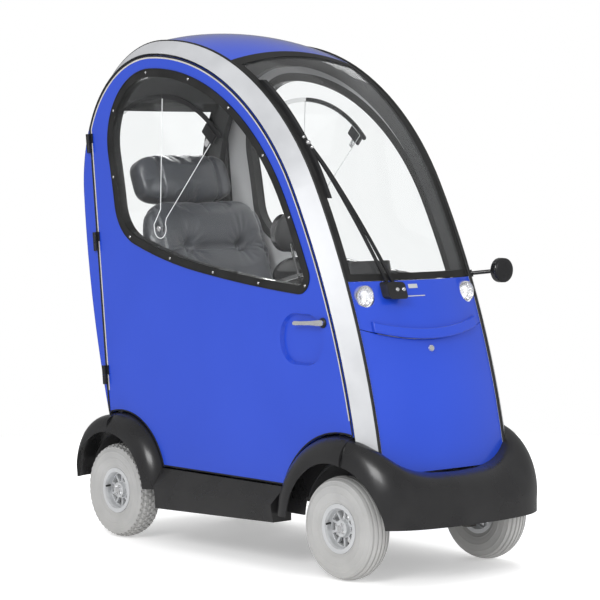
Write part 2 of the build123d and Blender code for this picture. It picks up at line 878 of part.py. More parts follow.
# Dashboard across the cabin below the screen
with BuildPart() as dashboard:
    with BuildSketch(Plane.YZ):
        with BuildLine():
            Polyline(*dash_profile, close=True)
        make_face()
    extrude(amount=panel_half_width, both=True)
save(dashboard, "dashboard")

# Seat: pedestal with a back bracket, cushion, backrest and headrest
back_plane = Plane(origin=(0, *back_foot), x_dir=(1, 0, 0), z_dir=Vector(0, 0, 1).rotate(Axis.X, -back_rake))
with BuildPart() as seat_base:
    plate_base_z = cushion_base_z - seat_plate_thickness
    bar((0, pedestal_y, battery_top_z + seat_gap), (0, pedestal_y, plate_base_z + 2), pedestal_radius)
    block(
        (-seat_plate_half_width, seat_plate_y[0], plate_base_z),
        (seat_plate_half_width, seat_plate_y[1], cushion_base_z - seat_gap),
    )
    with BuildSketch(back_plane.offset(-back_bracket_drop)):
        with Locations((0, (back_thickness + back_bracket_thickness) / 2)):
            Rectangle(back_bracket_width, back_bracket_thickness - 2 * seat_gap)
    extrude(amount=back_bracket_length)
save(seat_base, "seat_base")

with BuildPart() as seat_cushion:
    block((-seat_width / 2, cushion_front_y, cushion_base_z),
          (seat_width / 2, cushion_rear_y, cushion_base_z + cushion_height))
    fillet(seat_cushion.edges().filter_by(Axis.Z), 45)
    fillet(seat_cushion.faces().sort_by(Axis.Z)[-1].edges(), 25)
save(seat_cushion, "seat_cushion")

with BuildPart() as seat_back:
    with BuildSketch(back_plane.offset(back_lift)):
        RectangleRounded(seat_width, back_thickness, 40)
    extrude(amount=back_height)
    fillet(seat_back.faces().sort_by(Axis.Z)[-1].edges(), 35)
save(seat_back, "seat_back")

headrest_plane = Plane(origin=(0, *headrest_centre), x_dir=(1, 0, 0), z_dir=back_plane.z_dir)
with BuildPart() as headrest:
    width, depth, height = headrest_size
    rise = (headrest_plane.origin - back_plane.origin).dot(back_plane.z_dir)
    post_length = rise - height / 2 - back_lift - back_height - seat_gap
    with BuildSketch(headrest_plane.offset(-height / 2)):
        RectangleRounded(width, depth, 50)
    extrude(amount=height)
    fillet(headrest.edges().filter_by(GeomType.LINE).group_by(SortBy.LENGTH)[-1], 30)
    with BuildSketch(headrest_plane.offset(-height / 2)):
        x, y = headrest_post
        with Locations((-x, y), (x, y)):
            Circle(headrest_post_radius)
    extrude(amount=-post_length)
save(headrest, "headrest")

# Tiller: column, head with handlebar, and a mirror on a stalk at the right end of the bar
tiller_axis = (Vector(0, *tiller_head) - Vector(0, *tiller_foot)).normalized()
tiller_plane = Plane(origin=(0, *tiller_foot), x_dir=(1, 0, 0), z_dir=tiller_axis)
with BuildPart() as tiller_column:
    with BuildSketch(tiller_plane.offset(column_lift)):
        Circle(column_radius)
    extrude(amount=head_along - pod_size[2] / 2 - column_lift - seat_gap)
save(tiller_column, "tiller_column")

with BuildPart() as tiller_head_unit:
    width, depth, height = pod_size
    with BuildSketch(tiller_plane.offset(head_along - height / 2)):
        RectangleRounded(width, depth, pod_corner)
    extrude(amount=height)
    grip_end, grip_bend, bar_y = grip_y
    with BuildLine(tiller_plane.offset(head_along)) as grip_path:
        FilletPolyline((-bar_half_width, grip_end), (-bar_half_width, grip_bend), (-bar_bend_x, bar_y),
                       (bar_bend_x, bar_y), (bar_half_width, grip_bend), (bar_half_width, grip_end),
                       radius=bar_bend_radius)
    with BuildSketch(Plane(origin=grip_path.line @ 0, z_dir=grip_path.line % 0)):
        Circle(bar_radius)
    sweep(path=grip_path.line)
save(tiller_head_unit, "tiller_head")

with BuildPart() as tiller_mirrors:
    foot = tiller_plane.offset(head_along).from_local_coords((-bar_half_width, 40, bar_radius + 1))
    bar(foot, stalk_mirror, stalk_radius)
    with BuildSketch(Plane(origin=stalk_mirror, z_dir=(0, 1, 0))):
        Circle(stalk_mirror_radius)
    extrude(amount=stalk_mirror_depth / 2, both=True)
save(tiller_mirrors, "tiller_mirrors")

# Door outline pieces
with BuildSketch() as window:
    with BuildLine():
        joints, tangents = arch_run(arch_front, -1, -window_inset)
        lower = TangentArc(joints[2], joints[3], tangent=tangents[2], mode=Mode.PRIVATE)
        corner = lower @ window_front_share
        for start, end, tangent in zip(joints, (joints[1], joints[2], corner), tangents):
            TangentArc(start, end, tangent=tangent)
        point = joints[0]
        tangent = Vector(1, 0)
        for y, z in window_rear + ((corner.X, corner.Y),):
            chord = (Vector(y, z) - point).normalized()
            TangentArc(point, (y, z), tangent=tangent)
            tangent = chord * (2 * chord.dot(tangent)) - tangent
            point = Vector(y, z)
    make_face()
with BuildSketch() as gasket_hole:
    add(window.sketch)
    offset(amount=-gasket_width, mode=Mode.REPLACE)
with BuildSketch() as pane_shape:
    add(gasket_hole.sketch)
    offset(amount=-seat_gap, mode=Mode.REPLACE)
with BuildSketch() as gasket_shape:
    add(window.sketch)
    offset(amount=-seat_gap, mode=Mode.REPLACE)
    add(gasket_hole.sketch, mode=Mode.SUBTRACT)

with BuildLine() as vent_line:
    CenterArc(vent_pivot, vent_radius, vent_angles[0], vent_angles[1] - vent_angles[0])

# Hinge axis in side view
(hinge_y0, hinge_z0), (hinge_y1, hinge_z1) = hinge_line
hinge_axis = Vector(0, hinge_y1 - hinge_y0, hinge_z1 - hinge_z0).normalized()


def hinge_halves(side, turn):
    """Half of each hinge on one side: turn -1 is fixed to the body, 1 moves with the door."""
    for z in hinge_heights:
        y = hinge_y0 + (z - hinge_z0) * hinge_axis.Y / hinge_axis.Z
        origin = Vector(side * (body_half_width + hinge_stand_off), y, z)
        plane = Plane(origin=origin, x_dir=(side, 0, 0), z_dir=hinge_axis)
        leaf_x = seat_gap + hinge_leaf_thickness / 2 - hinge_stand_off
        with BuildSketch(plane.offset(turn * end_play / 2)) as section:
            Circle(hinge_radius)
            with Locations((leaf_x, -turn * side * hinge_leaf / 2)):
                Rectangle(hinge_leaf_thickness, hinge_leaf)
        extrude(section.sketch, amount=turn * (hinge_length - end_play) / 2)


with BuildPart() as hinge_posts:
    for name, side in SIDES:
        hinge_halves(side, -1)
save(hinge_posts, "hinge_posts")

for name, side in SIDES:
    inner = Plane.YZ.offset(side * door_inner_x)
    outer = Plane.YZ.offset(side * body_half_width)
    with BuildPart() as door:
        with BuildSketch(inner):
            arch_face(-door_gap)
            hinge_half_plane(-door_gap / 2, -far, Mode.INTERSECT)
            for centre, radius in (
                (front_fender_centre, front_fender_radius),
                (rear_fender_centre, rear_fender_radius),
            ):
                with Locations(centre):
                    Circle(radius + door_gap, mode=Mode.SUBTRACT)
            with BuildLine():
                front_top = sill_front[0] + door_gap
                rear_top = sill_rear[0] + door_gap
                Polyline((-far, front_top), (sill_front_y, front_top), (sill_rear_y, rear_top),
                         (far, rear_top), (far, 0), (-far, 0), close=True)
            make_face(mode=Mode.SUBTRACT)
            add(window.sketch, mode=Mode.SUBTRACT)
        extrude(amount=side * door_thickness)
        with BuildSketch(outer):
            with Locations(handle_dish):
                RectangleRounded(*handle_dish_size, handle_dish_corner)
        extrude(amount=-side * handle_dish_depth, taper=handle_dish_taper, mode=Mode.SUBTRACT)
    save(door, f"door_{name}")

    with BuildPart() as gasket:
        with BuildSketch(inner):
            add(gasket_shape.sketch)
        extrude(amount=side * (door_thickness + gasket_proud))
    save(gasket, f"window_gasket_{name}")

    pane_x = body_half_width - pane_depth
    with BuildPart() as pane:
        with BuildSketch(Plane.YZ.offset(side * pane_x)):
            add(pane_shape.sketch)
        extrude(amount=-side * glass_thickness)
    save(pane, f"window_pane_{name}")

    with BuildPart() as vent:
        with BuildSketch(Plane.YZ.offset(side * (pane_x + seat_gap))):
            SlotArc(vent_line.edge(), vent_strip)
            with Locations(vent_pivot):
                Circle(vent_pivot_radius)
        extrude(amount=side * vent_thickness)
    save(vent, f"window_vent_{name}")

    with BuildPart() as handle:
        with BuildSketch(outer.offset(side * seat_gap)):
            with Locations(handle_pivot):
                Circle(handle_hub_radius)
        extrude(amount=side * handle_hub_height)
        with BuildSketch(outer.offset(side * handle_stand_off)):
            with Locations((handle_pivot[0] + handle_length / 2, handle_pivot[1])):
                SlotOverall(handle_length + handle_width, handle_width)
        extrude(amount=side * handle_thickness)
    save(handle, f"door_handle_{name}")

    with BuildPart() as leaves:
        hinge_halves(side, 1)
    save(leaves, f"door_hinges_{name}")
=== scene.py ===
# %% [markdown]
# # An enclosed mobility scooter, dressed for the studio
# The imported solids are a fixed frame: every panel, wheel and hinge already sits where it belongs,
# in metres, with the front towards -Y. This lesson gives each of them a believable finish and adds
# what solids do badly: stuffed upholstery, tyre tread, rubber seals, screws and bright trim.

import json
import math

import bmesh
import bpy
from mathutils import Matrix, Vector


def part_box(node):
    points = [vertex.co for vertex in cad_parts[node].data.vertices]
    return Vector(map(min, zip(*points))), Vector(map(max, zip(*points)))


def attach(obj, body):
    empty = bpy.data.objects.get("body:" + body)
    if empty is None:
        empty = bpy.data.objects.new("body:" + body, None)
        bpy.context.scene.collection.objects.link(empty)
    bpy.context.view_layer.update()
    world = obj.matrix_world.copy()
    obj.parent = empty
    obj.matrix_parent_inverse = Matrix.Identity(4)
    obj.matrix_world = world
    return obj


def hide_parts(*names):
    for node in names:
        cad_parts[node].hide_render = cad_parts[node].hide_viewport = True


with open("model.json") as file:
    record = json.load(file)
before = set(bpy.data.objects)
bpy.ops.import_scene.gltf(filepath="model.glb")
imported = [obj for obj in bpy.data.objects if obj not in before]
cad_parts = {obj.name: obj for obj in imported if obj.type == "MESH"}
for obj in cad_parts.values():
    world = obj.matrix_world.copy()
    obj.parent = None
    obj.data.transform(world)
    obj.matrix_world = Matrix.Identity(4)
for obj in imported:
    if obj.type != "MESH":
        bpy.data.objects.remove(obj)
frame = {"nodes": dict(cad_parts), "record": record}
nodes = frame["nodes"]
slot_of = {part["node"]: part["material_slot"] for part in frame["record"]["subparts"]}
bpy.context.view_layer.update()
scene = bpy.context.scene
SIDES = (("right", -1), ("left", 1))

# %% [markdown]
# ## The camera
# A product photograph is taken from far away with a long lens, so that near and far wheels have
# almost the same size. The distance and the angles below were solved from the four wheels, and
# the small shift puts the object where it stands in the picture.

# %% Camera
AZIMUTH = math.radians(40.74)
ELEVATION = math.radians(3.43)
ROLL = math.radians(-0.16)
DISTANCE = 7.18
AIM = Vector((0, 0, 0.75))
FOCAL_PIXELS = 2318
IMAGE_SIDE = 600
SHIFT_PIXELS = (1.5, 6.2)
SENSOR_MM = 36

level = math.cos(ELEVATION)
back = Vector((-math.sin(AZIMUTH) * level, -math.cos(AZIMUTH) * level, math.sin(ELEVATION)))
right = (-back).cross(Vector((0, 0, 1))).normalized()
up = right.cross(-back)
turn = Matrix((right, up, back)).transposed() @ Matrix.Rotation(ROLL, 3, "Z")
camera_data = bpy.data.cameras.new("studio_camera")
camera_data.sensor_width = SENSOR_MM
camera_data.lens = FOCAL_PIXELS / IMAGE_SIDE * SENSOR_MM
camera_data.shift_x = SHIFT_PIXELS[0] / IMAGE_SIDE
camera_data.shift_y = SHIFT_PIXELS[1] / IMAGE_SIDE
camera = bpy.data.objects.new("studio_camera", camera_data)
camera.matrix_world = Matrix.Translation(AIM + back * DISTANCE) @ turn.to_4x4()
scene.collection.objects.link(camera)
scene.camera = camera
scene.view_settings.view_transform = "Standard"
print("camera at", [round(v, 3) for v in camera.matrix_world.translation], "lens", round(camera_data.lens, 1))

# %% [markdown]
# ## Floor and light
# Gloss paint shows whatever surrounds it, so the room matters as much as the lamps. The sky is
# white where the camera or the glass looks at it and greyer where paint mirrors it, which keeps
# black plastic black. One large soft box draws the highlights; the other three only add light, as
# glossy surfaces don't mirror them.

# %% Stage
def area_light(name, place, size, power, target=AIM):
    """A soft box that faces the target."""
    data = bpy.data.lights.new(name, "AREA")
    data.shape = "RECTANGLE"
    data.size, data.size_y = size
    data.energy = power
    light = bpy.data.objects.new(name, data)
    light.location = place
    light.rotation_euler = (Vector(target) - Vector(place)).to_track_quat("-Z", "Y").to_euler()
    scene.collection.objects.link(light)
    return light


area_light("key_box", (-5.5, -3.0, 4.2), (3.0, 2.2), 190)
area_light("front_box", (1.5, -6.5, 3.2), (3.0, 3.0), 90).visible_glossy = False
area_light("top_box", (0.5, 0.5, 5.5), (5.0, 5.0), 90).visible_glossy = False
area_light("rear_box", (4.5, 5.0, 3.5), (4.0, 3.0), 150).visible_glossy = False


def link(tree, source, target):
    """Join an output to an input of the same node tree."""
    tree.links.new(source, target)


SEEN_SKY = 1.0
MIRRORED_SKY = 0.3
LIGHTING_SKY = 0.78
FLOOR_RADIUS = 3.2
FLOOR_GLOW = 0.35

world = bpy.data.worlds.new("studio_world")
scene.world = world
world.use_nodes = True
sky = world.node_tree
sky_rays = sky.nodes.new("ShaderNodeLightPath")
sky_seen = sky.nodes.new("ShaderNodeMath")
sky_seen.operation = "MAXIMUM"
link(sky, sky_rays.outputs["Is Camera Ray"], sky_seen.inputs[0])
link(sky, sky_rays.outputs["Is Transmission Ray"], sky_seen.inputs[1])
sky_gloss = sky.nodes.new("ShaderNodeMix")
sky_gloss.inputs["A"].default_value = LIGHTING_SKY
sky_gloss.inputs["B"].default_value = MIRRORED_SKY
link(sky, sky_rays.outputs["Is Glossy Ray"], sky_gloss.inputs["Factor"])
sky_level = sky.nodes.new("ShaderNodeMix")
sky_level.inputs["B"].default_value = SEEN_SKY
link(sky, sky_seen.outputs[0], sky_level.inputs["Factor"])
link(sky, sky_gloss.outputs["Result"], sky_level.inputs["A"])
link(sky, sky_level.outputs["Result"], sky.nodes["Background"].inputs["Strength"])
sky.nodes["Background"].inputs["Color"].default_value = (1, 1, 1, 1)

floor_material = bpy.data.materials.new("pale_floor")
floor_material.use_nodes = True
floor_shader = floor_material.node_tree.nodes["Principled BSDF"]
floor_shader.inputs["Base Color"].default_value = (0.92, 0.92, 0.92, 1)
floor_shader.inputs["Roughness"].default_value = 0.9
floor_shader.inputs["Emission Color"].default_value = (1, 1, 1, 1)
floor_shader.inputs["Emission Strength"].default_value = FLOOR_GLOW
floor_bm = bmesh.new()
bmesh.ops.create_circle(floor_bm, cap_ends=True, segments=96, radius=FLOOR_RADIUS)
floor_mesh = bpy.data.meshes.new("floor")
floor_bm.to_mesh(floor_mesh)
floor_bm.free()
floor = bpy.data.objects.new("floor", floor_mesh)
floor_mesh.materials.append(floor_material)
scene.collection.objects.link(floor)
floor.visible_glossy = False

# %% [markdown]
# ## Shared surface effects
# No moulded, sprayed or cast surface is perfectly even. Two effects come back on many of them, so
# each is one shader group: a fine grain with slow clouds of tone, and a pebble pattern like that of
# textured plastic, whose creases carry painted shade. A third dusts what is near the road.

# %% Shader groups
def shader_group(name, inputs, outputs):
    """An empty shader group with named sockets, and its two end nodes."""
    tree = bpy.data.node_groups.new(name, "ShaderNodeTree")
    for socket, kind, value in inputs:
        made = tree.interface.new_socket(socket, in_out="INPUT", socket_type=kind)
        if value is not None:
            made.default_value = value
    for socket in outputs:
        tree.interface.new_socket(socket, in_out="OUTPUT", socket_type="NodeSocketFloat")
    return tree, tree.nodes.new("NodeGroupInput"), tree.nodes.new("NodeGroupOutput")


def noise_in(tree, vector, scale, detail):
    """A noise texture inside a group, driven by the group's own sockets."""
    noise = tree.nodes.new("ShaderNodeTexNoise")
    noise.inputs["Detail"].default_value = detail
    link(tree, vector, noise.inputs["Vector"])
    link(tree, scale, noise.inputs["Scale"])
    return noise.outputs["Fac"]


grain_group, ends_in, ends_out = shader_group(
    "surface_grain",
    (
        ("Vector", "NodeSocketVector", None),
        ("Grain Scale", "NodeSocketFloat", 400.0),
        ("Cloud Scale", "NodeSocketFloat", 6.0),
    ),
    ("Height", "Cloud"),
)
for scale, detail, result in (("Grain Scale", 2, "Height"), ("Cloud Scale", 3, "Cloud")):
    noise = noise_in(grain_group, ends_in.outputs["Vector"], ends_in.outputs[scale], detail)
    link(grain_group, noise, ends_out.inputs[result])

pebble_group, ends_in, ends_out = shader_group(
    "pebble_grain",
    (("Vector", "NodeSocketVector", None), ("Pebble Scale", "NodeSocketFloat", 500.0)),
    ("Height", "Crease"),
)
pebbles = pebble_group.nodes.new("ShaderNodeTexVoronoi")
pebbles.feature = "DISTANCE_TO_EDGE"
link(pebble_group, ends_in.outputs["Vector"], pebbles.inputs["Vector"])
link(pebble_group, ends_in.outputs["Pebble Scale"], pebbles.inputs["Scale"])
crown = pebble_group.nodes.new("ShaderNodeMapRange")
crown.interpolation_type = "SMOOTHSTEP"
crown.inputs["From Max"].default_value = 0.35
link(pebble_group, pebbles.outputs["Distance"], crown.inputs["Value"])
link(pebble_group, crown.outputs["Result"], ends_out.inputs["Height"])
# The Crease mask marks the pebbles' creases, where the finishes paint shade.
crease = pebble_group.nodes.new("ShaderNodeMath")
crease.operation = "LESS_THAN"
crease.inputs[1].default_value = 0.07
link(pebble_group, pebbles.outputs["Distance"], crease.inputs[0])
link(pebble_group, crease.outputs[0], ends_out.inputs["Crease"])

dust_group, ends_in, ends_out = shader_group(
    "road_dust",
    (
        ("Vector", "NodeSocketVector", None),
        ("Reach", "NodeSocketFloat", 0.3),
        ("Amount", "NodeSocketFloat", 0.3),
    ),
    ("Mask",),
)
dust_place = dust_group.nodes.new("ShaderNodeSeparateXYZ")
link(dust_group, ends_in.outputs["Vector"], dust_place.inputs["Vector"])
dust_fall = dust_group.nodes.new("ShaderNodeMapRange")
dust_fall.inputs["To Min"].default_value = 1.0
dust_fall.inputs["To Max"].default_value = 0.0
link(dust_group, dust_place.outputs["Z"], dust_fall.inputs["Value"])
link(dust_group, ends_in.outputs["Reach"], dust_fall.inputs["From Max"])
dust_noise = dust_group.nodes.new("ShaderNodeTexNoise")
dust_noise.inputs["Scale"].default_value = 22.0
dust_noise.inputs["Detail"].default_value = 5.0
link(dust_group, ends_in.outputs["Vector"], dust_noise.inputs["Vector"])
dust_patch = dust_group.nodes.new("ShaderNodeMath")
dust_patch.operation = "MULTIPLY"
link(dust_group, dust_fall.outputs["Result"], dust_patch.inputs[0])
link(dust_group, dust_noise.outputs["Fac"], dust_patch.inputs[1])
dust_share = dust_group.nodes.new("ShaderNodeMath")
dust_share.operation = "MULTIPLY"
link(dust_group, dust_patch.outputs[0], dust_share.inputs[0])
link(dust_group, ends_in.outputs["Amount"], dust_share.inputs[1])
link(dust_group, dust_share.outputs[0], ends_out.inputs["Mask"])
print("shader groups:", [g.name for g in bpy.data.node_groups])

# %% [markdown]
# ## One finish per kind of part
# A material here is a base tone and a second tone that clouds drift between, a roughness that
# drifts with them, and a bump: orange peel on sprayed paint, pebbles on textured plastic, fine
# grain on leather and cast metal. All read Object coordinates, so the pattern stays in every pose.

# %% Finishes
# How dark the painted shade in pebble creases is, as a share of the first tone.
CREASE_SHADE = 0.85
DUST_TONE = (0.36, 0.34, 0.31)


def place_group(tree, group, vector, **values):
    """One use of a shader group with its own values."""
    node = tree.nodes.new("ShaderNodeGroup")
    node.node_tree = group
    link(tree, vector, node.inputs["Vector"])
    for socket, value in values.items():
        node.inputs[socket.replace("_", " ")].default_value = value
    return node


def tone_between(tree, factor, first, second):
    """A colour that goes from the first to the second with the factor."""
    mix = tree.nodes.new("ShaderNodeMix")
    mix.data_type = "RGBA"
    for socket, value in ((mix.inputs[6], first), (mix.inputs[7], second)):
        if isinstance(value, tuple):
            socket.default_value = (*value, 1)
        else:
            link(tree, value, socket)
    link(tree, factor, mix.inputs[0])
    return mix.outputs[2]


def ranged(tree, value, low, high, from_low=0.2, from_high=0.8):
    """The value mapped to a range, such as a roughness between two limits."""
    span = tree.nodes.new("ShaderNodeMapRange")
    span.interpolation_type = "SMOOTHSTEP"
    span.inputs["From Min"].default_value = from_low
    span.inputs["From Max"].default_value = from_high
    span.inputs["To Min"].default_value = low
    span.inputs["To Max"].default_value = high
    link(tree, value, span.inputs["Value"])
    return span.outputs["Result"]


def finish(name, first, second, rough, grain, cloud, bump, pebble=0, dust=0, **shader_values):
    """A material with drifting tone and roughness, grain or pebbles as bump, and painted shade in the
    pebbles' creases.
    """
    material = bpy.data.materials.new(name)
    material.use_nodes = True
    tree = material.node_tree
    shader = tree.nodes["Principled BSDF"]
    for socket, value in shader_values.items():
        shader.inputs[socket.replace("_", " ")].default_value = value
    vector = tree.nodes.new("ShaderNodeTexCoord").outputs["Object"]
    fine = place_group(tree, grain_group, vector, Grain_Scale=grain, Cloud_Scale=cloud)
    colour = tone_between(tree, ranged(tree, fine.outputs["Cloud"], 0, 1), first, second)
    height = fine.outputs["Height"]
    if pebble:
        pebbled = place_group(tree, pebble_group, vector, Pebble_Scale=pebble)
        height = pebbled.outputs["Height"]
        # Painted shade: the pebbles' creases are darkened to CREASE_SHADE of the first tone.
        dark = tuple(CREASE_SHADE * part for part in first)
        colour = tone_between(tree, pebbled.outputs["Crease"], colour, dark)
    if dust:
        film = place_group(tree, dust_group, vector, Amount=dust)
        colour = tone_between(tree, film.outputs["Mask"], colour, DUST_TONE)
    link(tree, colour, shader.inputs["Base Color"])
    link(tree, ranged(tree, fine.outputs["Cloud"], *rough), shader.inputs["Roughness"])
    relief = tree.nodes.new("ShaderNodeBump")
    relief.inputs["Strength"].default_value = bump[0]
    relief.inputs["Distance"].default_value = bump[1]
    link(tree, height, relief.inputs["Height"])
    link(tree, relief.outputs["Normal"], shader.inputs["Normal"])
    return material


# A bump is its strength and its height in metres.
FINE = (0.25, 0.0004)
SOFT = (0.12, 0.0006)
DEEP = (0.5, 0.0008)
# Columns: first tone, second tone, roughness range, grain scale, cloud scale, bump, what else.
FINISHES = {
    "blue_paint": (
        (0.011, 0.057, 0.53), (0.013, 0.063, 0.57), (0.28, 0.32), 260, 3, (0.01, 0.0003),
        {"Coat_Weight": 1.0, "Coat_Roughness": 0.03},
    ),
    "silver_band": ((0.52, 0.53, 0.55), (0.60, 0.61, 0.63), (0.30, 0.42), 900, 9, SOFT, {"Metallic": 0.25}),
    "black_moulding": (
        (0.012, 0.012, 0.013), (0.020, 0.020, 0.021), (0.24, 0.34), 900, 8, (0.05, 0.0004),
        {"dust": 0.06, "Coat_Weight": 0.3, "Coat_Roughness": 0.16},
    ),
    "seal_rubber": ((0.010, 0.010, 0.010), (0.022, 0.022, 0.022), (0.50, 0.70), 800, 14, FINE, {}),
    "tyre_grey": ((0.36, 0.36, 0.355), (0.43, 0.43, 0.425), (0.70, 0.86), 700, 11, FINE, {"dust": 0.35}),
    "rim_silver": ((0.58, 0.59, 0.60), (0.66, 0.67, 0.68), (0.30, 0.46), 1100, 12, SOFT, {"Metallic": 0.3}),
    "bright_chrome": (
        (0.84, 0.84, 0.85), (0.92, 0.92, 0.93), (0.14, 0.24), 900, 20, (0.02, 0.0003), {"Metallic": 0.8},
    ),
    "frame_black": ((0.015, 0.015, 0.016), (0.03, 0.03, 0.03), (0.42, 0.60), 700, 9, FINE, {"dust": 0.5}),
    "cast_alloy": (
        (0.40, 0.40, 0.41), (0.52, 0.52, 0.53), (0.38, 0.55), 600, 14, DEEP, {"Metallic": 0.9, "dust": 0.4},
    ),
    "black_leather": (
        (0.034, 0.037, 0.044), (0.050, 0.053, 0.062), (0.28, 0.40), 600, 12, (0.08, 0.0004),
        {"Sheen_Weight": 0.1},
    ),
    "floor_mat": ((0.030, 0.030, 0.032), (0.050, 0.050, 0.052), (0.75, 0.92), 500, 8, DEEP, {"pebble": 260}),
    "trim_black": (
        (0.014, 0.014, 0.015), (0.028, 0.028, 0.030), (0.38, 0.55), 900, 10, SOFT, {"pebble": 700},
    ),
    "mirror_black": (
        (0.010, 0.010, 0.011), (0.018, 0.018, 0.019), (0.16, 0.26), 900, 10, (0.03, 0.0004),
        {"Coat_Weight": 0.5},
    ),
    "lamp_red": (
        (0.38, 0.010, 0.012), (0.50, 0.020, 0.020), (0.08, 0.16), 500, 30, DEEP,
        {"pebble": 240, "Coat_Weight": 0.8},
    ),
}
finishes = {name: finish(name, *row, **more) for name, (*row, more) in FINISHES.items()}
print("finishes:", len(finishes))

# %% [markdown]
# ## Clear glazing
# The windows are acrylic sheet, so they are clear but never quite clean: tone and roughness drift a
# little. Shadow rays pass straight through, because a sheet of acrylic throws almost no shadow and
# the seat behind it should be lit.

# %% Glazing
SHEET_IOR = 1.03
SHEET_COAT = 0.35
PALER = 1.04


def clear_sheet(name, tint, smear):
    """Transmitting acrylic that lets shadow rays pass."""
    material = bpy.data.materials.new(name)
    material.use_nodes = True
    tree = material.node_tree
    shader = tree.nodes["Principled BSDF"]
    shader.inputs["Transmission Weight"].default_value = 1.0
    shader.inputs["IOR"].default_value = SHEET_IOR
    shader.inputs["Coat Weight"].default_value = SHEET_COAT
    vector = tree.nodes.new("ShaderNodeTexCoord").outputs["Object"]
    film = place_group(tree, grain_group, vector, Grain_Scale=40.0, Cloud_Scale=7.0)
    pale = tuple(min(1.0, part * PALER) for part in tint)
    link(tree, tone_between(tree, film.outputs["Cloud"], tint, pale), shader.inputs["Base Color"])
    link(tree, ranged(tree, film.outputs["Cloud"], 0.0, smear), shader.inputs["Roughness"])
    passing = tree.nodes.new("ShaderNodeBsdfTransparent")
    rays = tree.nodes.new("ShaderNodeLightPath")
    choice = tree.nodes.new("ShaderNodeMixShader")
    link(tree, rays.outputs["Is Shadow Ray"], choice.inputs[0])
    link(tree, shader.outputs[0], choice.inputs[1])
    link(tree, passing.outputs[0], choice.inputs[2])
    link(tree, choice.outputs[0], tree.nodes["Material Output"].inputs["Surface"])
    return material


finishes["clear_glazing"] = clear_sheet("clear_glazing", (0.95, 0.96, 0.96), 0.012)
finishes["lamp_clear"] = clear_sheet("lamp_clear", (0.96, 0.97, 0.98), 0.02)
for name, node in nodes.items():
    node.data.materials.clear()
    node.data.materials.append(finishes[slot_of[name]])
print("nodes with a finish:", sum(bool(o.data.materials) for o in nodes.values()))

# %% [markdown]
# ## Linings inside the cabin
# Only the outside of a moulding gets the gloss colour. Indoors the doors are pale grey and the
# roof is dark. The doors keep their solid and get a material that changes over at the depth of
# the panel. The roof, the rear, the quarter panels and the hoops get thin linings, each cut from a
# copy of the panel's own inner skin.

# %% Linings
LINING_GREY = (0.46, 0.46, 0.47)
PAINT_DEPTH_X = 0.2715
PAINT_EDGE = 0.0004
LINING_LIFT, BORDER_LIFT = 0.0006, 0.0002
SHEET_THICKNESS = 0.0012
CABIN_HEART = Vector((0, 0.2, 0.95))
FACING = 0.25


def lined_paint(name):
    """Blue gel coat outside and pale lining inside: |x| below PAINT_DEPTH_X is indoors."""
    material = finishes["blue_paint"].copy()
    material.name = name
    tree = material.node_tree
    shader = tree.nodes["Principled BSDF"]
    place = tree.nodes.new("ShaderNodeSeparateXYZ")
    coordinates = next(n for n in tree.nodes if n.type == "TEX_COORD")
    link(tree, coordinates.outputs["Object"], place.inputs["Vector"])
    depth = tree.nodes.new("ShaderNodeMath")
    depth.operation = "ABSOLUTE"
    link(tree, place.outputs["X"], depth.inputs[0])
    edges = (PAINT_DEPTH_X - PAINT_EDGE, PAINT_DEPTH_X + PAINT_EDGE)
    inside = ranged(tree, depth.outputs[0], 1.0, 0.0, *edges)
    paint = shader.inputs["Base Color"].links[0].from_socket
    link(tree, tone_between(tree, inside, paint, LINING_GREY), shader.inputs["Base Color"])
    coat = tree.nodes.new("ShaderNodeMath")
    coat.operation = "SUBTRACT"
    coat.inputs[0].default_value = 1.0
    link(tree, inside, coat.inputs[1])
    link(tree, coat.outputs[0], shader.inputs["Coat Weight"])
    return material


door_paint = lined_paint("door_paint")
for side, turn_x in SIDES:
    nodes[f"door_{side}"].data.materials[0] = door_paint


def merged_copy(node):
    """A bmesh copy of a CAD node with its loose triangles merged."""
    bm = bmesh.new()
    bm.from_mesh(nodes[node].data)
    bmesh.ops.remove_doubles(bm, verts=bm.verts, dist=1e-5)
    bmesh.ops.recalc_face_normals(bm, faces=bm.faces)
    return bm


def piece(name, bm, body, slot, crease=40, finish_name=None):
    """A finished mesh that rides on a body and takes the finish of a material slot."""
    mesh = bpy.data.meshes.new(name)
    bm.to_mesh(mesh)
    bm.free()
    mesh.shade_smooth()
    mesh.set_sharp_from_angle(angle=math.radians(crease))
    mesh.materials.append(finishes[finish_name or slot])
    made = bpy.data.objects.new(name, mesh)
    scene.collection.objects.link(made)
    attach(made, body)
    return made


def skin(bm, keep, lift):
    """A sheet cut from the faces that pass keep(face), lifted off them and given a thickness."""
    bmesh.ops.delete(bm, geom=[f for f in bm.faces if not keep(f)], context="FACES")
    bm.normal_update()
    for vertex, normal in [(v, v.normal.copy()) for v in bm.verts]:
        vertex.co += normal * (lift + SHEET_THICKNESS)
    bmesh.ops.solidify(bm, geom=bm.faces[:], thickness=SHEET_THICKNESS)
    bmesh.ops.recalc_face_normals(bm, faces=bm.faces)
    return bm


def inwardness(face):
    """How far a face looks towards the middle of the cabin, from -1 to 1."""
    return face.normal.dot((CABIN_HEART - face.calc_center_median()).normalized())


def faces_in(face):
    """Whether a face looks into the cabin."""
    return inwardness(face) > FACING


def faces_out(face):
    """Whether a face looks out of the cabin."""
    return inwardness(face) < -FACING


finishes["roof_felt"] = finish(
    "roof_felt", (0.035, 0.036, 0.038), (0.055, 0.056, 0.058), (0.85, 0.95), 900, 14, DEEP,
    pebble=800, Sheen_Weight=0.2,
)
for panel in ("roof_panel", "rear_panel", "quarter_panels", "hoops"):
    sheet = skin(merged_copy(panel), faces_in, LINING_LIFT)
    lining = piece(f"{panel}_lining", sheet, "chassis", "trim_black", finish_name="roof_felt")
    print(lining.name, "faces:", len(lining.data.polygons))

# %% [markdown]
# ## Borders of the curved windows
# Where the bent screens meet the painted panels, a black strip hides the glue line. It is cut
# from the glass's own outer skin with a plane, so it follows the bend exactly.

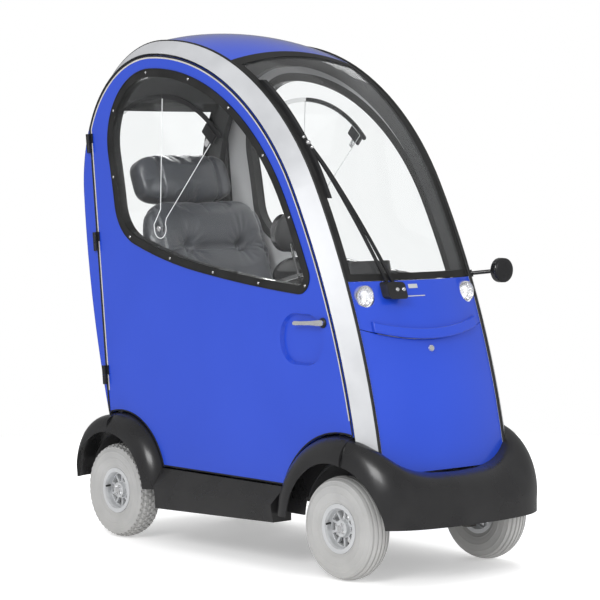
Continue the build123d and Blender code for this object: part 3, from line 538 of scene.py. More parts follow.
# %% Window borders
def border(node, plane_point, plane_normal):
    """The outer skin of a bent window on the far side of a plane."""
    bm = merged_copy(node)
    everything = bm.verts[:] + bm.edges[:] + bm.faces[:]
    bmesh.ops.bisect_plane(
        bm, geom=everything, plane_co=plane_point, plane_no=plane_normal, clear_inner=True
    )
    return skin(bm, faces_out, BORDER_LIFT)


# Columns: window, strip, a point of the cutting plane, the plane's normal towards the strip.
BORDERS = (
    ("windscreen", "screen_foot_strip", (0, 0, 0.872), (0, 0, -1)),
    ("windscreen", "screen_head_strip", (0, -0.006, 0), (0, 1, 0)),
    ("windscreen", "screen_left_strip", (0.220, 0, 0), (1, 0, 0)),
    ("windscreen", "screen_right_strip", (-0.228, 0, 0), (-1, 0, 0)),
    ("rear_window", "rear_left_strip", (0.222, 0, 0), (1, 0, 0)),
    ("rear_window", "rear_right_strip", (-0.222, 0, 0), (-1, 0, 0)),
    ("rear_window", "rear_foot_strip", (0, 0, 0.926), (0, 0, -1)),
    ("rear_window", "rear_head_strip", (0, 0, 1.366), (0, 0, 1)),
)
for node, name, point, normal in BORDERS:
    strip = piece(name, border(node, point, normal), "chassis", "seal_rubber")
    print(name, "faces:", len(strip.data.polygons))

# %% [markdown]
# ## Seals round the doors
# Each door closes on a rubber seal, with a thin pale welt beside it; the welt's pale tone also paints the
# highlight that gloss draws along the seal. Both follow the door's outline, which is read from the edge
# of the door's own outer face, and are swept along it as a profile.

# %% Door seals
SHOULDER_SHARE = 0.6


def outlines(node, x_plane):
    """Closed outlines of the node's faces on the plane x = x_plane, the longest first."""
    bm = merged_copy(node)
    flat = {f for f in bm.faces if all(abs(v.co.x - x_plane) < 2e-4 for v in f.verts)}
    ahead = {}
    for edge in bm.edges:
        if sum(f in flat for f in edge.link_faces) == 1:
            first, second = edge.verts
            ahead.setdefault(first, []).append(second)
            ahead.setdefault(second, []).append(first)
    loops = []
    while ahead:
        start = next(iter(ahead))
        loop, previous, point = [], None, start
        while point in ahead:
            loop.append(Vector((point.co.y, point.co.z)))
            onward = [p for p in ahead.pop(point) if p is not previous]
            previous, point = point, onward[0]
        loops.append(loop)
    bm.free()
    return sorted(loops, key=loop_length, reverse=True)


def loop_length(loop):
    """The length of a closed outline."""
    return sum((b - a).length for a, b in zip(loop, loop[1:] + loop[:1]))


def evenly(loop, count):
    """The same closed outline with evenly spaced points, counter-clockwise."""
    area = sum(a.cross(b) for a, b in zip(loop, loop[1:] + loop[:1]))
    points = loop if area > 0 else loop[::-1]
    total = loop_length(points)
    spaced, walked, index = [], 0.0, 0
    for k in range(count):
        target = total * k / count
        while True:
            a, b = points[index % len(points)], points[(index + 1) % len(points)]
            step = (b - a).length
            if walked + step > target or index >= len(points) - 1:
                break
            walked += step
            index += 1
        share = min(1.0, (target - walked) / step) if step else 0.0
        spaced.append(a.lerp(b, share))
    return spaced


def outward(points):
    """Unit normals of an evenly spaced counter-clockwise outline."""
    normals = []
    for before, after in zip(points[-1:] + points[:-1], points[1:] + points[:1]):
        along = (after - before).normalized()
        normals.append(Vector((along.y, -along.x)))
    return normals


def bridge(bm, rings, closed=True):
    """Faces between neighbouring rings of points, with caps on a run that doesn't close."""
    for ring, onward in zip(rings, rings[1:] + (rings[:1] if closed else [])):
        for k in range(len(ring)):
            bm.faces.new((ring[k - 1], ring[k], onward[k], onward[k - 1]))
    if not closed:
        bm.faces.new(rings[0])
        bm.faces.new(rings[-1])


def swept(points, side, profile, run=None):
    """A closed profile of (out from the outline, |x|) carried round an outline or a run of it."""
    bm = bmesh.new()
    rings = []
    stations = list(zip(points, outward(points)))
    if run:
        stations = [stations[k % len(points)] for k in range(*run)]
    for point, normal in stations:
        ring = []
        for out, x in profile:
            spot = point + normal * out
            ring.append(bm.verts.new((side * x, spot.x, spot.y)))
        rings.append(ring)
    bridge(bm, rings, closed=not run)
    bmesh.ops.recalc_face_normals(bm, faces=bm.faces)
    return bm


def above(points, z):
    """The run of an outline that lies above a height, as a range of point numbers."""
    count = len(points)
    start = next(k for k in range(count) if points[k].y > z and points[k - 1].y <= z)
    end = next(k for k in range(start, start + count) if points[k % count].y <= z)
    return start, end


def flat_bead(inner, outer, base_x, height):
    """A low rounded strip between two distances from the outline."""
    middle = (inner + outer) / 2
    shoulder = base_x + SHOULDER_SHARE * height
    return ((inner, base_x), (outer, base_x), (outer, shoulder), (middle, base_x + height), (inner, shoulder))


# Painted highlight: the welt's pale tone is partly its own colour and partly the gloss line along the seal.
finishes["welt_painted_highlight"] = finish(
    "welt_painted_highlight", (0.50, 0.48, 0.45), (0.60, 0.58, 0.55), (0.35, 0.5), 600, 20, FINE
)
DOOR_FACE_X = 0.3
DOOR_POINTS = 420
WELT_FOOT_Z = 0.46
SEAL_BEAD = flat_bead(-0.0045, -0.0003, DOOR_FACE_X, 0.0022)
WELT_BEAD = flat_bead(-0.0095, -0.0047, DOOR_FACE_X, 0.0010)
for side, turn_x in SIDES:
    edge = evenly(outlines(f"door_{side}", turn_x * DOOR_FACE_X)[0], DOOR_POINTS)
    body = f"{side}_door"
    piece(f"door_seal_{side}", swept(edge, turn_x, SEAL_BEAD), body, "seal_rubber")
    welt = swept(edge, turn_x, WELT_BEAD, above(edge, WELT_FOOT_Z))
    piece(f"door_welt_highlight_{side}", welt, body, "silver_band", finish_name="welt_painted_highlight")
print("door outline:", round(loop_length(edge), 3), "m")

# %% [markdown]
# ## Screws along the window frames
# Small pan-head screws hold each window's rubber frame. They repeat along a path, so a Geometry
# Nodes tree places them: the path is an outline mesh, and its inputs are the pitch and the head's
# size. The instances are made real before the result becomes a plain mesh.

# %% Window screws
def nodes_tree(name, sockets):
    """A Geometry Nodes tree with a geometry input and output and named inputs."""
    tree = bpy.data.node_groups.new(name, "GeometryNodeTree")
    tree.interface.new_socket("Geometry", in_out="INPUT", socket_type="NodeSocketGeometry")
    for socket, kind, value in sockets:
        tree.interface.new_socket(socket, in_out="INPUT", socket_type=kind).default_value = value
    tree.interface.new_socket("Geometry", in_out="OUTPUT", socket_type="NodeSocketGeometry")
    return tree, tree.nodes.new("NodeGroupInput"), tree.nodes.new("NodeGroupOutput")


def set_inputs(modifier, values):
    """Set a Geometry Nodes modifier's inputs by the identifiers of their sockets."""
    for item in modifier.node_group.interface.items_tree:
        if item.item_type == "SOCKET" and item.in_out == "INPUT" and item.name in values:
            modifier[item.identifier] = values[item.name]


def grown(name, seed, tree, values, body, slot, crease=40):
    """Run a tree on a seed mesh and keep the result as a plain piece."""
    mesh = bpy.data.meshes.new(f"{name}_seed")
    seed.to_mesh(mesh)
    seed.free()
    carrier = bpy.data.objects.new(f"{name}_seed", mesh)
    scene.collection.objects.link(carrier)
    modifier = carrier.modifiers.new("growth", "NODES")
    modifier.node_group = tree
    set_inputs(modifier, values)
    ready = carrier.evaluated_get(bpy.context.evaluated_depsgraph_get())
    result = bpy.data.meshes.new_from_object(ready)
    carrier.modifiers.remove(modifier)
    bpy.data.objects.remove(carrier)
    bm = bmesh.new()
    bm.from_mesh(result)
    bpy.data.meshes.remove(result)
    bmesh.ops.remove_doubles(bm, verts=bm.verts, dist=1e-6)
    bmesh.ops.recalc_face_normals(bm, faces=bm.faces)
    return piece(name, bm, body, slot, crease)


def finish_tree(tree, ends_out, geometry, slot):
    """Make the instances real, give them their finish and close the tree."""
    real = tree.nodes.new("GeometryNodeRealizeInstances")
    painted = tree.nodes.new("GeometryNodeSetMaterial")
    painted.inputs["Material"].default_value = finishes[slot]
    link(tree, geometry, real.inputs["Geometry"])
    link(tree, real.outputs["Geometry"], painted.inputs["Geometry"])
    link(tree, painted.outputs["Geometry"], ends_out.inputs["Geometry"])


screw_tree, ends_in, ends_out = nodes_tree("screws_along_path", (
    ("Pitch", "NodeSocketFloat", 0.23),
    ("Head Radius", "NodeSocketFloat", 0.004),
    ("Head Height", "NodeSocketFloat", 0.5),
))
as_curve = screw_tree.nodes.new("GeometryNodeMeshToCurve")
link(screw_tree, ends_in.outputs["Geometry"], as_curve.inputs["Mesh"])
spaced = screw_tree.nodes.new("GeometryNodeResampleCurve")
spaced.mode = "LENGTH"
link(screw_tree, as_curve.outputs["Curve"], spaced.inputs["Curve"])
link(screw_tree, ends_in.outputs["Pitch"], spaced.inputs["Length"])
head = screw_tree.nodes.new("GeometryNodeMeshUVSphere")
head.inputs["Segments"].default_value = 14
head.inputs["Rings"].default_value = 8
link(screw_tree, ends_in.outputs["Head Radius"], head.inputs["Radius"])
flat = screw_tree.nodes.new("GeometryNodeTransform")
link(screw_tree, head.outputs["Mesh"], flat.inputs["Geometry"])
squash = screw_tree.nodes.new("ShaderNodeCombineXYZ")
squash.inputs["Y"].default_value = 1.0
squash.inputs["Z"].default_value = 1.0
link(screw_tree, ends_in.outputs["Head Height"], squash.inputs["X"])
link(screw_tree, squash.outputs["Vector"], flat.inputs["Scale"])
set_down = screw_tree.nodes.new("GeometryNodeInstanceOnPoints")
link(screw_tree, spaced.outputs["Curve"], set_down.inputs["Points"])
link(screw_tree, flat.outputs["Geometry"], set_down.inputs["Instance"])
finish_tree(screw_tree, ends_out, set_down.outputs["Instances"], "bright_chrome")


def path_seed(points, x):
    """A closed outline as a mesh of edges, for a tree to follow."""
    bm = bmesh.new()
    corners = [bm.verts.new((x, p.x, p.y)) for p in points]
    for a, b in zip(corners, corners[1:] + corners[:1]):
        bm.edges.new((a, b))
    return bm


GASKET_FACE_X = 0.302
GASKET_POINTS = 300
SCREW_INSET = 0.011
SCREWS = {"Pitch": 0.225, "Head Radius": 0.0042, "Head Height": 0.45}
LIP_BEAD = flat_bead(-0.0035, -0.0002, GASKET_FACE_X, 0.0014)
for side, turn_x in SIDES:
    body = f"{side}_door"
    ring = evenly(outlines(f"window_gasket_{side}", turn_x * GASKET_FACE_X)[0], GASKET_POINTS)
    line = [p - n * SCREW_INSET for p, n in zip(ring, outward(ring))]
    seed = path_seed(line, turn_x * GASKET_FACE_X)
    screws = grown(f"window_screws_{side}", seed, screw_tree, SCREWS, body, "bright_chrome")
    piece(f"window_lip_{side}", swept(ring, turn_x, LIP_BEAD), body, "seal_rubber")
print("screw faces:", len(screws.data.polygons))

# %% [markdown]
# ## The sliding vent in each door window
# A sector of clear acrylic turns about a button low in the window, and its arc carries a dark
# strip. Sawn acrylic edges catch the light, so they are thin bright rods here, and a dark latch
# with a chrome tongue sits at the front end of the arc.

# %% Vent sheets
VENT_X = 0.2931
VENT_PIVOT = Vector((0.318, 0.990))
VENT_RADIUS = 0.404
VENT_FROM, VENT_TO = 92.0, 134.0
VENT_STEPS = 24
EDGE_RADIUS = 0.0012
TEAR_RADIUS = 0.030
LATCH_ANGLE = 131.0
LATCH_SIZE, LATCH_X, LATCH_INSET = (0.010, 0.062, 0.036), 0.2975, 0.018
TONGUE_SIZE, TONGUE_X, TONGUE_INSET = (0.006, 0.016, 0.026), 0.2965, 0.047
VENT_BUTTON_RADIUS, VENT_BUTTON_X, VENT_BUTTON_FLATNESS = 0.009, 0.2985, 0.45
STRIP_END_Y, STRIP_BEGIN_Y, STRIP_ALPHA = 0.296, 0.302, 0.15


def polar(angle, radius):
    """A point of the window's plane, in degrees and metres from the vent's pivot."""
    turn = math.radians(angle)
    return VENT_PIVOT + Vector((math.cos(turn), math.sin(turn))) * radius


def rod(bm, start, end, radius, sides=8):
    """A round rod between two points."""
    axis = end - start
    made = bmesh.ops.create_cone(
        bm, cap_ends=True, segments=sides, radius1=radius, radius2=radius, depth=axis.length
    )
    place = Matrix.Translation((start + end) / 2) @ axis.to_track_quat("Z", "Y").to_matrix().to_4x4()
    bmesh.ops.transform(bm, matrix=place, verts=made["verts"])
    return made["verts"]


def rounded_block(bm, centre, size, bevel, turn_matrix=None):
    """A block with rounded edges, turned about its middle."""
    made = bmesh.ops.create_cube(bm, size=1)
    shape = Matrix.Diagonal((*size, 1))
    bmesh.ops.transform(bm, matrix=shape, verts=made["verts"])
    edges = {e for v in made["verts"] for e in v.link_edges}
    rounded = bmesh.ops.bevel(bm, geom=list(edges), offset=bevel, segments=3, profile=0.5, affect="EDGES")
    verts = {v for f in rounded["faces"] for v in f.verts} | {v for v in made["verts"] if v.is_valid}
    place = Matrix.Translation(centre) @ (turn_matrix or Matrix.Identity(4))
    bmesh.ops.transform(bm, matrix=place, verts=list(verts))
    return list(verts)


def half_clear_strip():
    """The vent's arc: dark in front of its apex, nearly clear behind it."""
    material = finishes["trim_black"].copy()
    material.name = "vent_strip"
    tree = material.node_tree
    coordinates = next(n for n in tree.nodes if n.type == "TEX_COORD")
    place = tree.nodes.new("ShaderNodeSeparateXYZ")
    link(tree, coordinates.outputs["Object"], place.inputs["Vector"])
    alpha = ranged(tree, place.outputs["Y"], 1.0, STRIP_ALPHA, STRIP_END_Y, STRIP_BEGIN_Y)
    link(tree, alpha, tree.nodes["Principled BSDF"].inputs["Alpha"])
    return material


vent_strip = half_clear_strip()
for side, turn_x in SIDES:
    nodes[f"window_vent_{side}"].data.materials[0] = vent_strip
finishes["sawn_acrylic"] = finish(
    "sawn_acrylic", (0.78, 0.79, 0.80), (0.88, 0.89, 0.90), (0.12, 0.25), 700, 30, FINE
)
tear = [polar(angle, TEAR_RADIUS) for angle in range(150, 361, 15)] + [polar(20, 0.034)]
sweep = [VENT_FROM + (VENT_TO - VENT_FROM) * k / VENT_STEPS for k in range(VENT_STEPS + 1)]
rim = [polar(VENT_TO, 0.045)] + tear + [polar(VENT_FROM, 0.060)] + [polar(a, VENT_RADIUS) for a in sweep]
lean = Matrix.Rotation(math.radians(LATCH_ANGLE - 90), 4, "X")
latch = polar(LATCH_ANGLE, VENT_RADIUS - LATCH_INSET)
tongue = polar(LATCH_ANGLE + 1, VENT_RADIUS - TONGUE_INSET)
for side, turn_x in SIDES:
    body = f"{side}_door"
    bm = bmesh.new()
    points = [Vector((turn_x * VENT_X, p.x, p.y)) for p in rim]
    for a, b in zip(points, points[1:] + points[:1]):
        rod(bm, a, b, EDGE_RADIUS, 6)
    piece(f"vent_edge_{side}", bm, body, "bright_chrome", finish_name="sawn_acrylic")
    bm = bmesh.new()
    rounded_block(bm, Vector((turn_x * LATCH_X, *latch)), LATCH_SIZE, 0.004, lean)
    piece(f"vent_latch_{side}", bm, body, "trim_black")
    bm = bmesh.new()
    rounded_block(bm, Vector((turn_x * TONGUE_X, *tongue)), TONGUE_SIZE, 0.0024, lean)
    hub = bmesh.ops.create_uvsphere(bm, u_segments=20, v_segments=10, radius=VENT_BUTTON_RADIUS)
    flatten = Matrix.Diagonal((VENT_BUTTON_FLATNESS, 1, 1, 1))
    flatten = Matrix.Translation((turn_x * VENT_BUTTON_X, *VENT_PIVOT)) @ flatten
    bmesh.ops.transform(bm, matrix=flatten, verts=hub["verts"])
    piece(f"vent_tongue_{side}", bm, body, "bright_chrome")
print("vent arc:", round(math.radians(VENT_TO - VENT_FROM) * VENT_RADIUS, 3), "m")

# %% [markdown]
# ## Stuffed upholstery
# A seat cover is sewn a little small and packed with foam, so it bulges between its seams and
# buttons. Each pad starts as a slim rounded form, is remeshed evenly and is blown up by a short
# cloth simulation, in which buttons and the sides that rest on a shell are held. Pleats and sewn
# channels are pressed in afterwards, because the remesh would erase them.

# %% Upholstery helpers
PAD_CUTS = 23
SIM_FRAMES = 20
PRESSURE = 4.0
PRESSED_SIDE, PRESSED_WIDTHS = 0.15, 3


def pad_form(name, size, centre, axes, power, voxel=0.006):
    """A rounded block in a turned frame, remeshed to even quads."""
    bm = bmesh.new()
    bmesh.ops.create_cube(bm, size=2)
    bmesh.ops.subdivide_edges(bm, edges=bm.edges[:], cuts=PAD_CUTS, use_grid_fill=True)
    for vertex in bm.verts:
        p = vertex.co
        reach = sum(abs(part) ** power for part in p) ** (-1 / power)
        vertex.co = Vector(centre) + axes @ Vector([part * reach * side / 2 for part, side in zip(p, size)])
    mesh = bpy.data.meshes.new(name)
    bm.to_mesh(mesh)
    bm.free()
    form = bpy.data.objects.new(name, mesh)
    scene.collection.objects.link(form)
    remesh = form.modifiers.new("even_quads", "REMESH")
    remesh.mode = "VOXEL"
    remesh.voxel_size = voxel
    keep_result(form, remesh)
    return form


def keep_result(form, modifier):
    """Apply one modifier by taking the evaluated mesh."""
    ready = form.evaluated_get(bpy.context.evaluated_depsgraph_get())
    old = form.data
    form.data = bpy.data.meshes.new_from_object(ready)
    form.modifiers.remove(modifier)
    bpy.data.meshes.remove(old)


def stuff(form, held, cap):
    """Blow the form up; held points stay and no point moves further than cap."""
    start = [v.co.copy() for v in form.data.vertices]
    pins = form.vertex_groups.new(name="held")
    for vertex in form.data.vertices:
        weight = held(vertex.co)
        if weight > 0:
            pins.add([vertex.index], weight, "REPLACE")
    cloth = form.modifiers.new("stuffing", "CLOTH")
    cover = cloth.settings
    cover.quality = 4
    cover.mass = 0.4
    cover.tension_stiffness = cover.compression_stiffness = 12
    cover.shear_stiffness = 6
    cover.bending_stiffness = 0.8
    cover.use_pressure = True
    cover.uniform_pressure_force = PRESSURE
    cover.effector_weights.gravity = 0
    cover.vertex_group_mass = pins.name
    for step in range(1, SIM_FRAMES + 1):
        scene.frame_set(step)
    ready = form.evaluated_get(bpy.context.evaluated_depsgraph_get())
    ends = [v.co.copy() for v in ready.data.vertices]
    form.modifiers.remove(cloth)
    scene.frame_set(1)
    for vertex, begin, end in zip(form.data.vertices, start, ends):
        move = end - begin
        if move.length > cap:
            move *= cap / move.length
        vertex.co = begin + move
    form.vertex_groups.remove(pins)


def press(form, facing, start, end, depth, width, fade=True):
    """Press a sewn channel or a pleat into the side of a pad that looks along facing."""
    along = Vector(end) - Vector(start)
    along -= facing * along.dot(facing)
    for vertex in form.data.vertices:
        if vertex.normal.dot(facing) < PRESSED_SIDE:
            continue
        away = vertex.co - Vector(start)
        away -= facing * away.dot(facing)
        share = max(0.0, min(1.0, away.dot(along) / along.length_squared))
        gap = (away - along * share).length
        if gap < PRESSED_WIDTHS * width:
            strength = math.exp(-((gap / width) ** 2)) * ((1 - share) if fade else 1)
            vertex.co -= vertex.normal * depth * strength


def settle(form, body, slot, fill, *replaced):
    smooth = form.modifiers.new("smooth", "SUBSURF")
    smooth.levels = smooth.render_levels = 1
    keep_result(form, smooth)
    form.data.shade_smooth()
    form.data.materials.clear()
    form.data.materials.append(finishes[slot])
    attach(form, body)
    if replaced:
        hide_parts(*replaced)
    print(form.name, "faces:", len(form.data.polygons))


print("cloth frames for each pad:", SIM_FRAMES)

# %% [markdown]
# ## Seat cushion, backrest and headrest
# The backrest leans back by 22 degrees and has a pair of buttons, with pleats that fan out of each
# and a long crease between them. The headrest is a wide pill with a sewn middle panel, on two
# chrome posts.

# %% Seat pads
RAKE = math.radians(22)
LEAN = Matrix(((1, 0, 0), (0, math.cos(RAKE), math.sin(RAKE)), (0, -math.sin(RAKE), math.cos(RAKE))))
BACK_FOOT = Vector((0, 0.319, 0.590))
CUSHION_BASE_Z = 0.478
CUSHION_SIZE, CUSHION_CENTRE = (0.424, 0.398, 0.100), (0, 0.0825, 0.530)
CUSHION_HELD_Z = 0.486
CHANNEL_Y = (-0.045, 0.045, 0.135, 0.225)
CHANNEL_HALF, CHANNEL_Z = 0.17, 0.592
UP = Vector((0, 0, 1))


def on_back(x, depth, rise):
    """A point of the backrest's own frame: across, towards the rear, up along the back."""
    return BACK_FOOT + LEAN @ Vector((x, depth, rise))


cushion = pad_form("seat_cushion_pad", CUSHION_SIZE, CUSHION_CENTRE, Matrix.Identity(3), 7)
stuff(cushion, lambda p: 1.0 if p.z < CUSHION_HELD_Z else 0.0, 0.016)
for vertex in cushion.data.vertices:
    vertex.co.z = max(vertex.co.z, CUSHION_BASE_Z + 0.0004)
for y in CHANNEL_Y:
    ends = (-CHANNEL_HALF, y, CHANNEL_Z), (CHANNEL_HALF, y, CHANNEL_Z)
    press(cushion, UP, *ends, 0.007, 0.008, fade=False)
settle(cushion, "chassis", "black_leather", 0.7, "seat_cushion")

FORWARD = LEAN @ Vector((0, -1, 0))
BACK_SIZE, BACK_RISE = (0.482, 0.082, 0.500), 0.269
BACK_HELD, BACK_REAR = 0.036, 0.0498
BUTTON_X, BUTTON_RISE, BUTTON_DEPTH = (-0.108, 0.108), 0.344, -0.041
BUTTON_HOLD = 0.009
SEAM_X, SEAM_RISE = (-0.205, 0.205), (0.03, 0.485)
# Each pleat is an angle in degrees and a length.
PLEATS = (
    (62, 0.110), (78, 0.135), (96, 0.125), (44, 0.095), (22, 0.080), (-25, 0.070), (-75, 0.080),
    (-120, 0.070), (120, 0.085), (150, 0.070),
)
backrest = pad_form("backrest_pad", BACK_SIZE, on_back(0, 0, BACK_RISE), LEAN, 4.8)
button_spots = [on_back(x, BUTTON_DEPTH, BUTTON_RISE) for x in BUTTON_X]


def held_back(point):
    """Hold the shell behind the backrest, and its buttons."""
    local = LEAN.inverted() @ (point - BACK_FOOT)
    if local.y > BACK_HELD:
        return 1.0
    return 1.0 if min((point - spot).length for spot in button_spots) < BUTTON_HOLD else 0.0


stuff(backrest, held_back, 0.024)
for spot, x in zip(button_spots, BUTTON_X):
    for angle, reach in PLEATS:
        turn = math.radians(angle)
        tip = on_back(x + math.cos(turn) * reach, BUTTON_DEPTH, BUTTON_RISE + math.sin(turn) * reach)
        press(backrest, FORWARD, spot, tip, 0.007, 0.0058)
    press(backrest, FORWARD, spot, on_back(-0.6 * x, BUTTON_DEPTH, BUTTON_RISE), 0.008, 0.007)
    press(backrest, FORWARD, spot, spot + Vector((0.0001, 0, 0)), 0.010, 0.014, fade=False)
for x in SEAM_X:
    foot, top = (on_back(x, -0.050, rise) for rise in SEAM_RISE)
    press(backrest, FORWARD, foot, top, 0.006, 0.006, fade=False)
for vertex in backrest.data.vertices:
    local = LEAN.inverted() @ (vertex.co - BACK_FOOT)
    if local.y > BACK_REAR:
        vertex.co = on_back(local.x, BACK_REAR, local.z)
settle(backrest, "chassis", "black_leather", 0.7, "seat_back")

HEAD_CENTRE = Vector((0, 0.589, 1.138))
HEAD_SIZE, HEAD_LIFT = (0.372, 0.100, 0.160), 0.002
PANEL_X, PANEL_HALF = (-0.115, 0.115), 0.08
POST_X, POST_RADIUS = (-0.070, 0.070), 0.006


def on_head(x, depth, rise):
    """A point of the headrest's own frame, which leans with the backrest."""
    return HEAD_CENTRE + LEAN @ Vector((x, depth, rise))


headrest = pad_form("headrest_pad", HEAD_SIZE, on_head(0, 0, HEAD_LIFT), LEAN, 4.2, 0.005)
stuff(headrest, lambda p: 0.0, 0.011)
for x in PANEL_X:
    low, high = on_head(x, -0.058, -PANEL_HALF), on_head(x * 0.98, -0.058, PANEL_HALF)
    press(headrest, FORWARD, low, high, 0.009, 0.006, fade=False)
settle(headrest, "chassis", "black_leather", 0.75, "headrest")

bm = bmesh.new()
for x in POST_X:
    rod(bm, on_head(x, 0, -0.135), on_head(x, 0, -0.05), POST_RADIUS, 24)
piece("headrest_posts", bm, "chassis", "bright_chrome")
bm = bmesh.new()
bpy.context.view_layer.update()
for spot in button_spots:
    _, button_seat, _, _ = backrest.ray_cast(spot + FORWARD * 0.2, -FORWARD)
    made = bmesh.ops.create_uvsphere(bm, u_segments=24, v_segments=12, radius=0.010)
    place = Matrix.Translation(button_seat) @ LEAN.to_4x4() @ Matrix.Diagonal((1, 0.5, 1, 1))
    bmesh.ops.transform(bm, matrix=place, verts=made["verts"])
piece("backrest_buttons", bm, "chassis", "black_leather")

# %% [markdown]
# ## Tyres
# The grey puncture-proof tyres are turned shapes, so a profile is spun round each axle: bead, side
# wall with moulded rings, shoulder and tread. The front pair has grooves that run round the tread;
# the rear pair has a lower tread that carries rows of blocks.

# %% Turned tyres
TYRE_R, SHOULDER_R, BEAD_R = 0.150, 0.138, 0.0718
TREAD_HALF, BEAD_HALF, TYRE_HALF = 0.037, 0.034, 0.044
WHEEL_X, AXLE_Y = 0.2785, 0.534
CROWN_R = (TREAD_HALF ** 2 + (TYRE_R - SHOULDER_R) ** 2) / (2 * (TYRE_R - SHOULDER_R))
WALL_STEPS, TREAD_STEPS, TYRE_SEGMENTS = 40, 120, 144
WALL_RINGS, RING_HEIGHT, RING_WIDTH = (0.082, 0.104, 0.124), 0.0013, 0.0016
FRONT_GROOVES = tuple((x, 0.0022, 0.0042) for x in (-0.027, -0.0135, 0.0, 0.0135, 0.027))
REAR_GROOVES, REAR_DROP = ((0.0, 0.003, 0.0015),), 0.0042
BEAD_SEAT = ((-0.0272, 0.0718), (-0.0268, 0.0645), (0.0268, 0.0645), (0.0272, 0.0718))


def crown_at(x):
    """The radius of the tread's crown at a distance from the tyre's middle."""
    return TYRE_R - CROWN_R + math.sqrt(CROWN_R ** 2 - x ** 2)


def wall_side():
    """Points of the side wall from the bead to the shoulder, with three moulded rings."""
    middle = (BEAD_R + SHOULDER_R) / 2
    half = (SHOULDER_R - BEAD_R) / 2
    points = []
    for k in range(WALL_STEPS):
        r = BEAD_R + (SHOULDER_R - BEAD_R) * k / WALL_STEPS
        lean = BEAD_HALF + (TREAD_HALF - BEAD_HALF) * k / WALL_STEPS
        bulge = (TYRE_HALF - (BEAD_HALF + TREAD_HALF) / 2) * (1 - ((r - middle) / half) ** 2)
        ring = sum(RING_HEIGHT * math.exp(-(((r - spot) / RING_WIDTH) ** 2)) for spot in WALL_RINGS)
        points.append((lean + bulge - RING_HEIGHT + ring, r))
    return points


def tread(grooves, drop):
    """Tread points from the outer shoulder to the inner one: grooves are (place, width, depth)."""
    points = []
    for k in range(TREAD_STEPS + 1):
        x = TREAD_HALF - 2 * TREAD_HALF * k / TREAD_STEPS
        cut = sum(depth * math.exp(-(((x - place) / width) ** 6)) for place, width, depth in grooves)
        edge = min(1.0, (TREAD_HALF - abs(x)) / 0.004)
        points.append((x, crown_at(x) - cut - drop * edge))
    return points


def spin(bm, profile, segments, point_at):
    """Spin a closed profile of (along the axis, radius); point_at places (along, across, across)."""
    rings = []
    for k in range(segments):
        angle = 2 * math.pi * k / segments
        cos, sin = math.cos(angle), math.sin(angle)
        rings.append([bm.verts.new(point_at(along, r * cos, r * sin)) for along, r in profile])
    bridge(bm, rings)


def spun(bm, profile, centre, side, segments=TYRE_SEGMENTS):
    """Spin a closed profile of (out along the axle, radius) round a wheel's axle."""
    spin(bm, profile, segments, lambda out, u, v: (centre[0] + side * out, centre[1] + v, centre[2] + u))
    bmesh.ops.recalc_face_normals(bm, faces=bm.faces)


wall = wall_side()
inner_wall = [(-x, r) for x, r in wall[::-1]]
WHEELS = tuple(
    (f"{end}_{side}", turn_x, turn_y * AXLE_Y)
    for end, turn_y in (("front", -1), ("rear", 1))
    for side, turn_x in SIDES
)
for corner, turn_x, y in WHEELS:
    front = corner.startswith("front")
    pattern = tread(FRONT_GROOVES, 0) if front else tread(REAR_GROOVES, REAR_DROP)
    bm = bmesh.new()
    spun(bm, wall + pattern + inner_wall + list(BEAD_SEAT), (turn_x * WHEEL_X, y, TYRE_R), turn_x)
    tyre = piece(f"treaded_tyre_{corner}", bm, f"{corner}_wheel", "tyre_grey", crease=50)
    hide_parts(f"tyre_{corner}")
print("tyre faces:", len(tyre.data.polygons))

# %% [markdown]
# ## Tread blocks and wheel nuts
# Blocks, nuts and flutes all stand in a ring, so one Geometry Nodes tree serves them: it copies the
# seed mesh round an axis. Its inputs are the count, the angle of the first copy, the centre and the
# axis.

# %% Rings of repeated pieces
ring_tree, ends_in, ends_out = nodes_tree("ring_of_copies", (
    ("Count", "NodeSocketInt", 12), ("Start Angle", "NodeSocketFloat", 0.0),
    ("Centre", "NodeSocketVector", (0, 0, 0)), ("Axis", "NodeSocketVector", (1, 0, 0)),
))
spots = ring_tree.nodes.new("GeometryNodePoints")
link(ring_tree, ends_in.outputs["Count"], spots.inputs["Count"])
link(ring_tree, ends_in.outputs["Centre"], spots.inputs["Position"])
number = ring_tree.nodes.new("GeometryNodeInputIndex")
share = ring_tree.nodes.new("ShaderNodeMath")
share.operation = "DIVIDE"
link(ring_tree, number.outputs[0], share.inputs[0])
link(ring_tree, ends_in.outputs["Count"], share.inputs[1])
angle = ring_tree.nodes.new("ShaderNodeMath")
angle.operation = "MULTIPLY_ADD"
angle.inputs[1].default_value = 2 * math.pi
link(ring_tree, share.outputs[0], angle.inputs[0])
link(ring_tree, ends_in.outputs["Start Angle"], angle.inputs[2])
rotation = ring_tree.nodes.new("FunctionNodeAxisAngleToRotation")
link(ring_tree, ends_in.outputs["Axis"], rotation.inputs["Axis"])
link(ring_tree, angle.outputs[0], rotation.inputs["Angle"])
copies = ring_tree.nodes.new("GeometryNodeInstanceOnPoints")
link(ring_tree, spots.outputs[0], copies.inputs["Points"])
link(ring_tree, ends_in.outputs["Geometry"], copies.inputs["Instance"])
link(ring_tree, rotation.outputs[0], copies.inputs["Rotation"])
finish_tree(ring_tree, ends_out, copies.outputs["Instances"], "rim_silver")


def block_seed(rows):
    """Tread blocks of one pitch, as seen from the axle: rows are (place, width, length, shift)."""
    bm = bmesh.new()
    for x, width, length, shift in rows:
        top = crown_at(x) - 0.0004
        tilt = Matrix.Rotation(shift, 4, "X") @ Matrix.Translation((x, 0, top - 0.004))
        rounded_block(bm, Vector((0, 0, 0)), (width, length, 0.008), 0.0012, tilt)
    return bm


